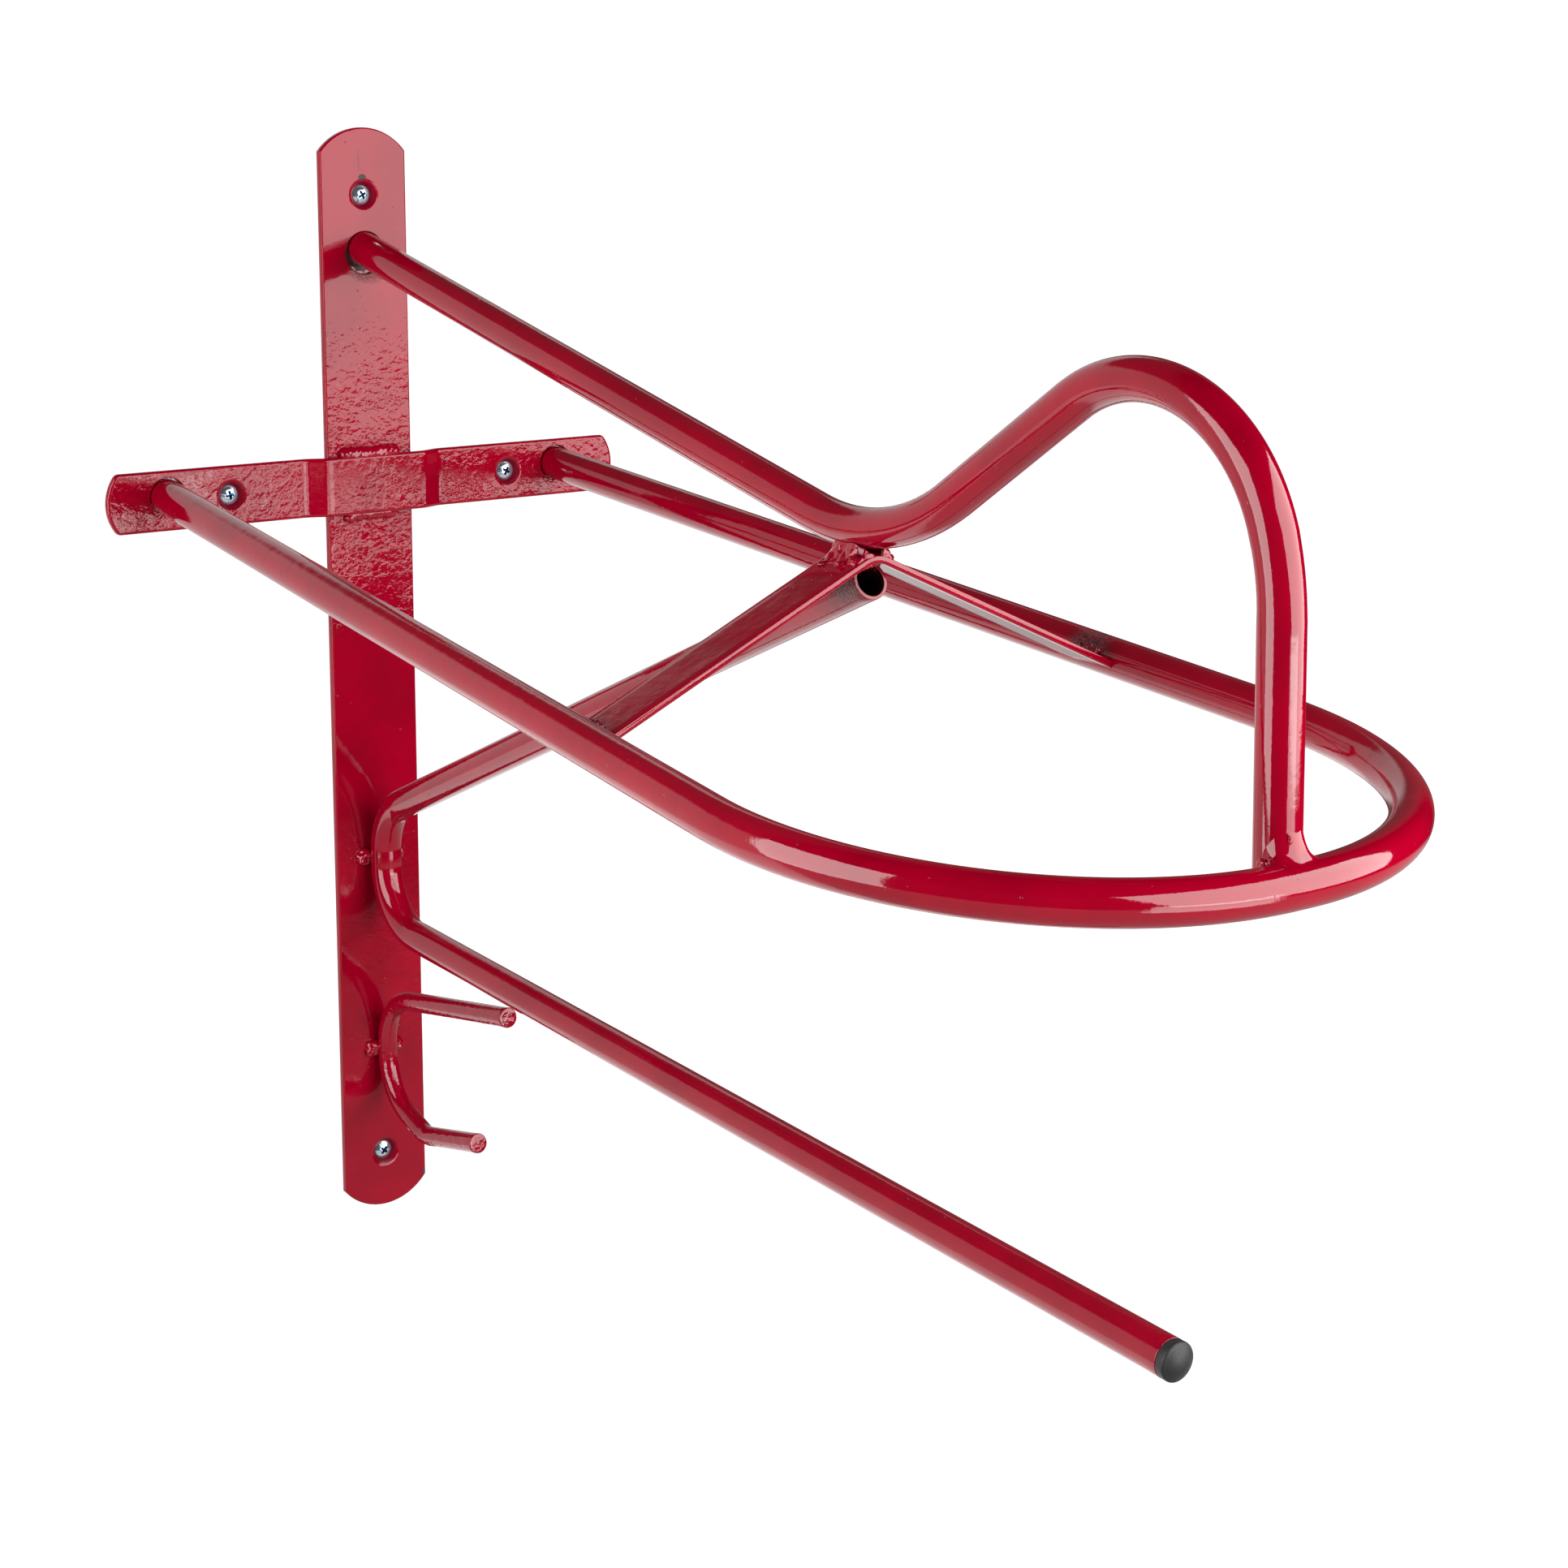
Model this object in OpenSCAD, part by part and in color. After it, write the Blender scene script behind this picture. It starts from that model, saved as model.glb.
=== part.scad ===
// Wall-mounted saddle rack: a welded bracket of steel tube and flat bar.
// Frame: the wall is the plane Y = 0, the rack reaches out along -Y and +Z is up.
// X = 0 is the middle of the back plate, Z = 0 the middle of the cross bar.
// Tube routes are written outward and up, so a plan or side view reads like a bending sheet.

/* [Tube and rod] */
// Outer diameter of the ridge tube and the hoop
tube_d = 16; // [14:0.5:18]
// Outer diameter of the blanket rail
rail_d = 15; // [13:0.5:16]
// Wall thickness of every tube
tube_wall = 1.5; // [1:0.1:2]
// Diameter of the solid rod of the bridle hook
rod_d = 9.5; // [8:0.5:10]

/* [Back plate] */
// Width of the back plate
plate_w = 45; // [40:1:50]
// Thickness of the back plate
plate_t = 4; // [4:0.5:5]
// Height of the plate above the cross bar's middle
plate_up = 168; // [160:1:180]
// Length of the plate below the cross bar's middle
plate_down = 365; // [355:1:380]
// Radius of the plate's arched ends
plate_end_r = 28.5; // [26:0.5:40]

/* [Cross bar] */
// Length of the cross bar from tip to tip
bar_l = 271; // [262:1:280]
// Height of the cross bar
bar_w = 28; // [26:1:32]
// Thickness of the cross bar
bar_t = 4; // [4:0.5:5]
// How far the bar sits to the right of the plate's middle
bar_shift = 2; // [0:0.5:3]
// Radius of the bar's arched ends
bar_end_r = 22; // [20:1:30]
// Half the length of the stretch that steps out over the plate
step_half = 25.5; // [25.5:0.5:28]
// Length of each sloping step
step_run = 9.5; // [7:0.5:12]

/* [Wall screws] */
// Height of the top screw
screw_top_z = 136.6; // [133:0.2:142]
// Height of the bottom screw
screw_bottom_z = -337; // [-345:1:-330]
// Distance of the side screws from the bar's middle
screw_side_x = 74.4; // [66:0.2:80]
// Length of a screw, from the rim of its head to its point
screw_l = 40; // [35:1:60]
// Shank diameter of a screw
screw_d = 5; // [4.5:0.1:5]
// Head diameter of a screw
screw_head_d = 9; // [8.5:0.1:9.5]
// Diameter of the countersinks at the face of the bar
sink_d = 14.6; // [14:0.1:15]

/* [Ridge tube] */
// Height of the ridge tube at the wall
ridge_z = 112.2; // [110:0.2:114]
// Slope of the ridge down to the dip, in degrees
ridge_fall = 12.85; // [12:0.05:13.5]
// Straight length from the wall to the dip
ridge_straight = 368; // [360:1:374]
// Turn of the dip, in degrees
dip_turn = 46.2; // [44:0.2:47]
// Bend radius of the dip
dip_r = 107; // [100:1:112]
// Straight length from the dip to the arch
rise_straight = 73; // [68:1:76]
// Turn of the arch over its top, in degrees
arch_turn = 105; // [103:1:107]
// Bend radius of the arch
arch_r = 63.5; // [60:0.5:66]
// Turn of the slack bend that ends the arch, in degrees
slack_turn = 17; // [15:1:18]
// Bend radius of the slack bend
slack_r = 92; // [80:1:100]
// Diameter of the oversized hole in the plate for the ridge tube
ridge_hole_d = 19.8; // [19.4:0.2:21]
// Height of that hole
ridge_hole_z = 109.6; // [109:0.2:110.4]

/* [Saddle hoop] */
// Distance between the hoop's ends at the wall, tube middle to tube middle
hoop_w = 208; // [200:1:214]
// Height of the hoop's ends at the wall
hoop_z = 2.4; // [1:0.2:3]
// Distance from the wall to the hoop's front
hoop_reach = 613; // [610:1:616]
// Slope of the hoop down to its front, in degrees
hoop_fall = 5.6; // [5:0.1:6]
// Splay of each arm, in degrees
hoop_splay = 3.3; // [3:0.1:3.6]
// Bend radius of the hoop's front
hoop_r = 128; // [120:1:129]

/* [Brace strap] */
// Width of the flat strap
strap_w = 22; // [20:1:25]
// Thickness of the flat strap
strap_t = 3; // [2.5:0.1:3.5]
// Distance from the wall to the strap's middle
strap_y = 386; // [382:1:390]
// How far below the arms' middle the strap's legs aim
strap_drop = 3; // [0:0.5:4]

/* [Blanket rail] */
// Distance from the wall to the open upper end
rail_top_y = 393; // [388:1:396]
// Slope of the upper run, in degrees
rail_rise = 23.9; // [23:0.1:25]
// Bend radius of both bends at the plate
rail_r = 30.5; // [28:0.5:34]
// Straight length between the two bends, where the rail lies on the plate
rail_back = 5.6; // [4:0.2:10]
// Distance from the wall to the capped lower end
rail_end_y = 563; // [540:1:580]
// Slope of the lower run down to its cap, in degrees
rail_fall = 2.2; // [0:0.2:3]

/* [End cap] */
// Width of the cap's rim
cap_rim = 4; // [3:0.5:6]
// Height of the cap's dome
cap_dome = 2.6; // [2:0.2:4]
// Length of the plug inside the rail
cap_plug = 14; // [10:1:20]

/* [Bridle hook] */
// Distance from the wall to the end of the upper arm
hook_top_y = 125.5; // [110:0.5:126]
// Height of the end of the upper arm
hook_top_z = -234.3; // [-236:0.1:-234.2]
// Rise of the upper arm, in degrees
hook_rise = 10.3; // [8:0.1:11]
// Bend radius of the hook's back
hook_r = 28; // [26:1:30]
// Straight length of the hook's back, where it lies on the plate
hook_back = 5; // [4:0.5:8]
// Slope of the hook's back below its bend, in degrees
hook_fall = 16.4; // [12:0.2:20]
// Straight length below the back
hook_slope = 13; // [8:1:20]
// Rise of the lower arm, in degrees
hook_lip = 13; // [8:1:18]
// Bend radius where the lower arm turns up
hook_lip_r = 20; // [15:1:25]
// Straight length of the lower arm
hook_arm = 46; // [36:1:56]

/* [Welds] */
// Radius of the beads along the cross bar
bar_bead_r = 3.4; // [3:0.2:4]
// Length of the bead above the cross bar
bar_bead_top = 32; // [24:1:34]
// Length of the bead below the cross bar
bar_bead_bottom = 28; // [22:1:32]
// Radius of the beads at the strap
strap_bead_r = 2.6; // [2.2:0.1:3]
// Radius of the nuggets that hold the rail and the hook
nugget_r = 4.5; // [4:0.1:5]
// Width of the bead around the foot of the arch
foot_bead = 2.6; // [2:0.1:3]
// Height that the foot bead climbs up the leg
foot_climb = 13; // [10:1:16]

/* [Hidden] */
$fn = 48;

paint = "#A5052C";
zinc = "#B9C0C8";
black = "#1C1D1F";

eps = 0.5;                      // overshoot of a cutting tool
end_gap = 0.3;                  // tube ends stop short of the wall by this much
lap = 0.5;                      // how far a straight laps over the end of a bend
neck = 0.02;                    // how much slimmer a bend is than a straight
start_back = 8;                 // tubes are drawn from behind the wall and trimmed by it
leg_l = 90;                     // the leg is drawn through the hoop and trimmed by it
tube_r = tube_d / 2;
bore_r = tube_r - tube_wall;
rail_rad = rail_d / 2;
rod_r = rod_d / 2;
seat_gap = 0.05;                // play between a screw head and its countersink
hoop_hole_r = tube_r + 0.6;
prep_t = 1.6;                   // depth of the weld preparation behind a hoop end
prep_w = 2;                     // its width

// A route is a list of [straight length, turn in degrees, bend radius].
// It starts along +X, turns left where the turn is positive, and stays in the XY plane.
ridge_route = [
  [ridge_straight, dip_turn, dip_r],
  [rise_straight, -arch_turn, arch_r],
  [0, -slack_turn, slack_r],
  [leg_l, 0, 0]
];

// The hoop's plan: two splayed arms and a front that is nearly a half circle
hoop_plan = hoop_reach / cos(hoop_fall);
front_half = hoop_w / 2 + hoop_plan * tan(hoop_splay);
corner_cut = hoop_r * tan((90 + hoop_splay) / 2);
arm_straight = hoop_plan / cos(hoop_splay) - corner_cut;
hoop_route = [
  [arm_straight, 90 + hoop_splay, hoop_r],
  [2 * (front_half - corner_cut), 90 + hoop_splay, hoop_r],
  [arm_straight + start_back, 0, 0]
];

// The rail starts at its open upper end and runs back to the plate
rail_axis_y = plate_t + rail_rad;
rail_up = (rail_top_y - rail_axis_y - rail_r * (1 - sin(rail_rise))) / cos(rail_rise);
rail_low = (rail_end_y - rail_axis_y - rail_r * (1 - sin(rail_fall))) / cos(rail_fall);
rail_route = [
  [rail_up, 90 - rail_rise, rail_r],
  [rail_back, 90 - rail_fall, rail_r],
  [rail_low, 0, 0]
];

// The hook starts at the end of its upper arm
hook_axis_y = plate_t + rod_r;
hook_up = (hook_top_y - hook_axis_y - hook_r * (1 - sin(hook_rise))) / cos(hook_rise);
hook_route = [
  [hook_up, 90 - hook_rise, hook_r],
  [hook_back, 90 - hook_fall, hook_r],
  [hook_slope, hook_fall + hook_lip, hook_lip_r],
  [hook_arm, 0, 0]
];
hook_back_z = hook_top_z - hook_up * sin(hook_rise) - hook_r * cos(hook_rise) - hook_back / 2;

// Lowest point of the ridge's dip
dip_y = ridge_straight * cos(ridge_fall) + dip_r * sin(ridge_fall);
dip_z = ridge_z - ridge_straight * sin(ridge_fall) - dip_r * (1 - cos(ridge_fall));
strap_top_z = dip_z - tube_r;

// Middle of the left and right arm where the strap meets them
arm_x = hoop_w / 2 + strap_y / cos(hoop_fall) * tan(hoop_splay);
arm_z = hoop_z - strap_y * tan(hoop_fall);
strap_slope = atan((strap_top_z - arm_z + strap_drop) / arm_x);
strap_under_z = strap_top_z - strap_t / cos(strap_slope);

// The rail's open end sits in the angle under the strap
rail_nest = rail_rad * sqrt(pow(tan(strap_slope), 2) + pow(cos(rail_rise), 2));
rail_top_z = strap_under_z - rail_nest - 0.15;
rail_back_z = rail_top_z - rail_up * sin(rail_rise) - rail_r * cos(rail_rise) - rail_back / 2;
rail_end_z = rail_back_z - rail_back / 2 - rail_r * cos(rail_fall) - rail_low * sin(rail_fall);

// Height of the hoop's front, and where the arch's leg comes down on it
front_z = hoop_z - hoop_reach * tan(hoop_fall);
leg_tilt = ridge_fall - dip_turn + arch_turn + slack_turn;
leg_end = route_end(ridge_route, -ridge_fall);
leg_foot_y = leg_end[0] - (front_z + tube_r - ridge_z - leg_end[1]) / tan(leg_tilt);
leg_start = [leg_end[0] - leg_l * cos(leg_tilt), ridge_z + leg_end[1] + leg_l * sin(leg_tilt)];

// Where a route ends, as [outward, up], for a start at the origin with a given heading
function route_end(route, heading, i = 0, at = [0, 0]) =
  i == len(route) ? at :
  let (run = route[i][0], turn = route[i][1], r = route[i][2], next = heading + turn, side = sign(turn))
  route_end(route, next, i + 1, [
    at[0] + run * cos(heading) + side * r * (sin(next) - sin(heading)),
    at[1] + run * sin(heading) - side * r * (cos(next) - cos(heading))
  ]);

// The same route with its first straight made longer
function started_earlier(route, by) = [
  for (i = [0:len(route) - 1])
    [route[i][0] + (i == 0 ? by : 0), route[i][1], route[i][2]]
];

// The cross-section of a rod, or of a tube if it has a bore
module section(r, bore) {
  difference() {
    circle(r);
    if (bore > 0)
      circle(bore);
  }
}

// Moves on to where a bend ends, with +X along what follows it
module past_bend(turn, bend_r) {
  side = sign(turn);
  translate([0, side * bend_r, 0])
    rotate([0, 0, turn])
      translate([0, -side * bend_r, 0])
        children();
}

// One bend: from the origin along +X, round to the left, or to the right if turn is negative
module bend(turn, bend_r, r, bore) {
  rotate([turn < 0 ? 180 : 0, 0, 0])
    translate([0, bend_r, 0])
      rotate([0, 0, -90])
        rotate_extrude(angle = abs(turn), $fn = 120)
          translate([bend_r, 0])
            section(r, bore);
}

// A rod or tube along a route, one straight and one bend at a time.
// Each straight laps over the ends of its bends, which are a hair slimmer and tuck into it.
module bar_run(route, r, bore = 0, i = 0) {
  if (i < len(route)) {
    run = route[i][0];
    turn = route[i][1];
    bend_r = route[i][2];
    before = i > 0 ? lap : 0;
    after = turn != 0 ? lap : 0;
    translate([-before, 0, 0])
      rotate([90, 0, 90])
        linear_extrude(before + run + after)
          section(r, bore);
    translate([run, 0, 0]) {
      if (turn != 0)
        bend(turn, bend_r, r - neck, bore > 0 ? bore + neck : 0);
      past_bend(turn, bend_r)
        bar_run(route, r, bore, i + 1);
    }
  }
}

// Sets a route upright in the plane X = 0, from a point, heading up by an angle from outward
module side_view(out, up, heading) {
  translate([0, -out, up])
    rotate([90, 0, -90])
      rotate([0, 0, heading])
        children();
}

// Sets the hoop's route in its own sloping plane, starting at the left end
module hoop_view() {
  translate([0, 0, hoop_z])
    rotate([hoop_fall, 0, 0])
      translate([-hoop_w / 2, 0, 0])
        rotate([0, 0, -90 - hoop_splay])
          children();
}

// Everything in the wall, and what the tube ends are trimmed by
module wall_space() {
  translate([-200, -end_gap, -500])
    cube([400, 60, 800]);
}

// Stands a shape that was drawn in X and Z on the wall, growing out along -Y
module on_wall() {
  rotate([90, 0, 0])
    children();
}

// Sets a shape on the ridge tube where it meets the wall, with +Z along the tube
module at_ridge_start() {
  translate([0, 0, ridge_z])
    rotate([90 + ridge_fall, 0, 0])
      children();
}

// The straight of one hoop arm, as a solid rod; side is -1 for the left arm and 1 for the right
module arm_rod(side) {
  translate([0, 0, hoop_z])
    rotate([hoop_fall, 0, 0])
      translate([side * hoop_w / 2, 0, 0])
        rotate([90, 0, side * hoop_splay])
          translate([0, 0, -start_back])
            cylinder(h = arm_straight + start_back, r = tube_r);
}

// The front of the hoop and the leg that stands on it, as solid rods
module front_rod(r = tube_r) {
  translate([-tube_d, -hoop_reach, front_z])
    rotate([0, 90, 0])
      cylinder(h = 2 * tube_d, r = r);
}

module leg_rod() {
  side_view(leg_start[0], leg_start[1], -leg_tilt)
    rotate([0, 90, 0])
      cylinder(h = leg_l, r = tube_r);
}

// A countersunk hole that leaves its small end at the wall
module sink_hole(t) {
  small_r = sink_d / 2 - t;
  on_wall()
    translate([0, 0, -eps])
      cylinder(h = t + 2 * eps, r1 = small_r - eps, r2 = small_r + t + eps);
}

module plate_outline() {
  length = plate_up + plate_down;
  intersection() {
    translate([-plate_w / 2, -plate_down])
      square([plate_w, length]);
    union() {
      translate([0, plate_up - plate_end_r])
        circle(plate_end_r);
      translate([-plate_w / 2, plate_end_r - plate_down])
        square([plate_w, length - 2 * plate_end_r]);
      translate([0, plate_end_r - plate_down])
        circle(plate_end_r);
    }
  }
}

module back_plate() {
  color(paint)
    difference() {
      on_wall()
        linear_extrude(plate_t)
          plate_outline();
      for (z = [screw_top_z, screw_bottom_z])
        translate([0, 0, z])
          sink_hole(plate_t);
      translate([0, 0, ridge_hole_z])
        on_wall()
          translate([0, 0, -eps])
            cylinder(h = plate_t + 2 * eps, d = ridge_hole_d);
    }
}

// The bar seen from above: flat on the wall, stepping out over the plate
module bar_plan() {
  miter = bar_t * tan(atan(plate_t / step_run) / 2);
  foot = step_half + step_run;
  half = bar_l / 2;
  polygon([
    [-half, 0], [-foot, 0], [-step_half, -plate_t], [step_half, -plate_t], [foot, 0], [half, 0],
    [half, -bar_t], [foot + miter, -bar_t], [step_half + miter, -plate_t - bar_t],
    [-step_half - miter, -plate_t - bar_t], [-foot - miter, -bar_t], [-half, -bar_t]
  ]);
}

// The bar seen from the front, with arched ends
module bar_outline() {
  reach = bar_l / 2 - bar_end_r;
  intersection() {
    square([bar_l, bar_w], center = true);
    union() {
      square([2 * reach, bar_w], center = true);
      for (side = [-1, 1])
        translate([side * reach, 0])
          circle(bar_end_r);
    }
  }
}

module hoop_hole() {
  on_wall()
    translate([0, 0, -eps])
      cylinder(h = bar_t + 2 * eps, r = hoop_hole_r);
  weld_prep();
}

// The bevel behind a hoop end, which its weld fills
module weld_prep() {
  on_wall()
    cylinder(h = prep_t, r1 = hoop_hole_r + prep_w, r2 = hoop_hole_r);
}

module cross_bar() {
  depth = plate_t + bar_t;
  color(paint)
    difference() {
      translate([bar_shift, 0, 0])
        intersection() {
          translate([0, 0, -bar_w / 2])
            linear_extrude(bar_w)
              bar_plan();
          on_wall()
            linear_extrude(depth)
              bar_outline();
        }
      for (side = [-1, 1]) {
        translate([bar_shift + side * screw_side_x, 0, 0])
          sink_hole(bar_t);
        translate([side * hoop_w / 2, 0, hoop_z])
          hoop_hole();
      }
    }
}

module ridge_tube() {
  color(paint)
    difference() {
      side_view(-start_back * cos(ridge_fall), ridge_z + start_back * sin(ridge_fall), -ridge_fall)
        bar_run(started_earlier(ridge_route, start_back), tube_r, bore_r);
      wall_space();
      front_rod();
    }
}

module saddle_hoop() {
  color(paint)
    difference() {
      hoop_view()
        translate([-start_back, 0, 0])
          bar_run(started_earlier(hoop_route, start_back), tube_r, bore_r);
      wall_space();
    }
}

// The strap seen from the front: an upside-down V with its legs under the ridge tube
module strap_outline() {
  end_z = strap_top_z - arm_x * tan(strap_slope);
  low_x = arm_x - strap_t * sin(strap_slope);
  low_z = end_z - strap_t * cos(strap_slope);
  polygon([
    [0, strap_top_z], [arm_x, end_z], [low_x, low_z],
    [0, strap_under_z], [-low_x, low_z], [-arm_x, end_z]
  ]);
}

module strap_solid() {
  translate([0, -strap_y + strap_w / 2, 0])
    on_wall()
      linear_extrude(strap_w)
        strap_outline();
}

module brace_strap() {
  color(paint)
    difference() {
      strap_solid();
      arm_rod(-1);
      arm_rod(1);
    }
}

module blanket_rail() {
  color(paint)
    side_view(rail_top_y, rail_top_z, 180 + rail_rise)
      bar_run(rail_route, rail_rad, rail_rad - tube_wall);
}

// Sets a shape on the rail's lower end, with +Z along the rail and out of it
module at_rail_end() {
  translate([0, -rail_end_y, rail_end_z])
    rotate([90 + rail_fall, 0, 0])
      children();
}

module rail_end_cap() {
  dome_r = (rail_rad * rail_rad + cap_dome * cap_dome) / (2 * cap_dome);
  plug_r = rail_rad - tube_wall - seat_gap;
  color(black)
    at_rail_end() {
      cylinder(h = cap_rim, r = rail_rad);
      intersection() {
        translate([0, 0, cap_rim - eps])
          cylinder(h = cap_dome + 2 * eps, r = rail_rad);
        translate([0, 0, cap_rim + cap_dome - dome_r])
          sphere(dome_r);
      }
      translate([0, 0, -cap_plug])
        difference() {
          cylinder(h = cap_plug + eps, r = plug_r);
          translate([0, 0, -eps])
            cylinder(h = cap_plug, r = plug_r - tube_wall);
        }
    }
}

module bridle_hook() {
  color(paint)
    side_view(hook_top_y, hook_top_z, 180 + hook_rise)
      bar_run(hook_route, rod_r);
}

// A raised countersunk wood screw with a cross recess; +Y runs into the wall
module wall_screw(spin) {
  head_r = screw_head_d / 2;
  shank_r = screw_d / 2;
  rise = 1.6;
  dome_r = (head_r * head_r + rise * rise) / (2 * rise);
  cone = head_r - shank_r;
  smooth = cone + 14;
  pitch = 2.2;
  point = 4;
  turns = floor((screw_l - smooth - point) / pitch);
  root_r = shank_r - 0.75;
  crest_r = shank_r - 0.05;
  thread_end = smooth + turns * pitch;
  rim_y = sink_d / 2 - head_r - plate_t - seat_gap;
  translate([0, rim_y, 0])
    rotate([-90, 0, 0]) {
      difference() {
        intersection() {
          translate([0, 0, -rise - eps])
            cylinder(h = rise + 2 * eps, r = head_r);
          translate([0, 0, dome_r - rise])
            sphere(dome_r);
          translate([0, 0, -rise - eps])
            cylinder(h = rise + eps, r = 2 * head_r);
        }
        cross_recess(rise, spin);
      }
      difference() {
        cylinder(h = cone, r1 = head_r, r2 = shank_r);
        cross_recess(rise, spin);
      }
      translate([0, 0, cone])
        cylinder(h = smooth - cone, r = shank_r);
      rotate_extrude()
        polygon(concat(
          [[0, smooth - eps], [root_r, smooth - eps]],
          [for (i = [0:turns - 1]) each [[root_r, smooth + i * pitch], [crest_r, smooth + (i + 0.5) * pitch]]],
          [[root_r, thread_end], [0, thread_end + point]]
        ));
    }
}

module cross_recess(rise, spin) {
  slot_l = 4.8;
  slot_w = 1.15;
  depth = 2;
  for (a = [0, 90])
    rotate(spin + a)
      translate([-slot_l / 2, -slot_w / 2, -rise - eps])
        cube([slot_l, slot_w, depth + eps]);
}

module wall_screws() {
  color(zinc) {
    translate([0, 0, screw_top_z])
      wall_screw(28);
    translate([0, 0, screw_bottom_z])
      wall_screw(50);
    translate([bar_shift - screw_side_x, 0, 0])
      wall_screw(12);
    translate([bar_shift + screw_side_x, 0, 0])
      wall_screw(65);
  }
}

// A bead with round ends, lying along X
module bead(length, r) {
  straight = length - 2 * r;
  translate([-straight / 2, 0, 0]) {
    rotate([0, 90, 0])
      cylinder(h = straight, r = r);
    sphere(r);
    translate([straight, 0, 0])
      sphere(r);
  }
}

// A fillet bead between the plate's face and an edge of the cross bar
module bar_bead(side, length) {
  color(paint)
    difference() {
      translate([0, -plate_t - 0.6, side * (bar_w / 2 + 0.8)])
        bead(length, bar_bead_r);
      translate([-plate_w, -plate_t, -plate_down])
        cube([2 * plate_w, plate_t + 10, plate_up + plate_down]);
      translate([-plate_w, -plate_t - bar_t - 10, -bar_w / 2])
        cube([2 * plate_w, bar_t + 20, bar_w]);
    }
}

module bar_top_weld() {
  bar_bead(1, bar_bead_top);
}

module bar_bottom_weld() {
  bar_bead(-1, bar_bead_bottom);
}

// The weld behind the plate that closes the oversized hole around the ridge tube
module ridge_end_weld() {
  color(paint)
    difference() {
      translate([0, -end_gap, ridge_hole_z])
        on_wall()
          cylinder(h = prep_t, d = ridge_hole_d);
      at_ridge_start()
        translate([0, 0, -start_back])
          cylinder(h = 2 * start_back, r = tube_r);
    }
}

module hoop_end_weld(side) {
  color(paint)
    difference() {
      translate([side * hoop_w / 2, 0, hoop_z])
        weld_prep();
      wall_space();
      arm_rod(side);
    }
}

module hoop_left_weld() {
  hoop_end_weld(-1);
}

module hoop_right_weld() {
  hoop_end_weld(1);
}

// The dip of the ridge tube, as a solid rod
module dip_rod() {
  side_view(ridge_straight * cos(ridge_fall), ridge_z - ridge_straight * sin(ridge_fall), -ridge_fall)
    bend(dip_turn, dip_r, tube_r, 0);
}

// Beads along both sides of the ridge tube, on top of the strap
module ridge_strap_weld() {
  bead_x = 6.4;
  color(paint)
    difference() {
      for (side = [-1, 1])
        translate([side * bead_x, -strap_y, strap_top_z - 0.4])
          rotate(90)
            bead(strap_w - 2, strap_bead_r);
      dip_rod();
      strap_solid();
    }
}

// A bead across the end of one strap leg, in the corner above it
module strap_end_weld(side) {
  back = tube_r + 1.2;
  color(paint)
    difference() {
      translate([side * (arm_x - back), -strap_y, arm_z - strap_drop + back * tan(strap_slope) + 0.8])
        rotate(90 - side * hoop_splay)
          bead(strap_w - 1, strap_bead_r);
      strap_solid();
      arm_rod(side);
    }
}

module strap_left_weld() {
  strap_end_weld(-1);
}

module strap_right_weld() {
  strap_end_weld(1);
}

// Beads between the strap's underside and the rail's open end
module rail_strap_weld() {
  bead_x = 5.4;
  color(paint)
    difference() {
      for (side = [-1, 1])
        translate([side * bead_x, -rail_top_y + 8, strap_top_z - strap_t - 3.6])
          rotate([0, 0, 90])
            bead(12, strap_bead_r);
      strap_solid();
      side_view(rail_top_y, rail_top_z, 180 + rail_rise)
        rotate([0, 90, 0])
          cylinder(h = 3 * rail_d, r = rail_rad);
    }
}

// A nugget on each side of a bar that lies against the plate
module nuggets(z, bar_r) {
  for (side = [-1, 1])
    translate([side * (bar_r + 1.4), -plate_t, z])
      rotate([0, 90, 0])
        bead(2 * nugget_r + 4, nugget_r);
}

// The stretch of a bar that lies against the plate, with room for the bends beside it
module back_rod(z, bar_r) {
  room = 0.15;
  translate([0, -plate_t - bar_r, z - 3 * nugget_r])
    cylinder(h = 6 * nugget_r, r = bar_r + room);
}

module plate_slab() {
  translate([-plate_w, -plate_t, -plate_down])
    cube([2 * plate_w, plate_t + 20, plate_up + plate_down]);
}

module rail_plate_weld() {
  color(paint)
    difference() {
      nuggets(rail_back_z, rail_rad);
      plate_slab();
      back_rod(rail_back_z, rail_rad);
    }
}

module hook_plate_weld() {
  color(paint)
    difference() {
      nuggets(hook_back_z, rod_r);
      plate_slab();
      back_rod(hook_back_z, rod_r);
    }
}

// The flared bead around the foot of the arch, wrapped over the hoop
module arch_foot_weld() {
  color(paint)
    difference() {
      intersection() {
        translate([0, -leg_foot_y, front_z - 4])
          cylinder(h = foot_climb + tube_r, r1 = tube_r + 2 * foot_bead, r2 = tube_r);
        front_rod(tube_r + foot_bead);
      }
      leg_rod();
      front_rod();
    }
}

back_plate();
cross_bar();
ridge_tube();
saddle_hoop();
brace_strap();
blanket_rail();
rail_end_cap();
bridle_hook();
wall_screws();
bar_top_weld();
bar_bottom_weld();
ridge_end_weld();
hoop_left_weld();
hoop_right_weld();
ridge_strap_weld();
strap_left_weld();
strap_right_weld();
rail_strap_weld();
rail_plate_weld();
hook_plate_weld();
arch_foot_weld();
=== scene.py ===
import bmesh
import bpy
import math
import numpy as np
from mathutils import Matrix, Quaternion, Vector, noise


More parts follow.
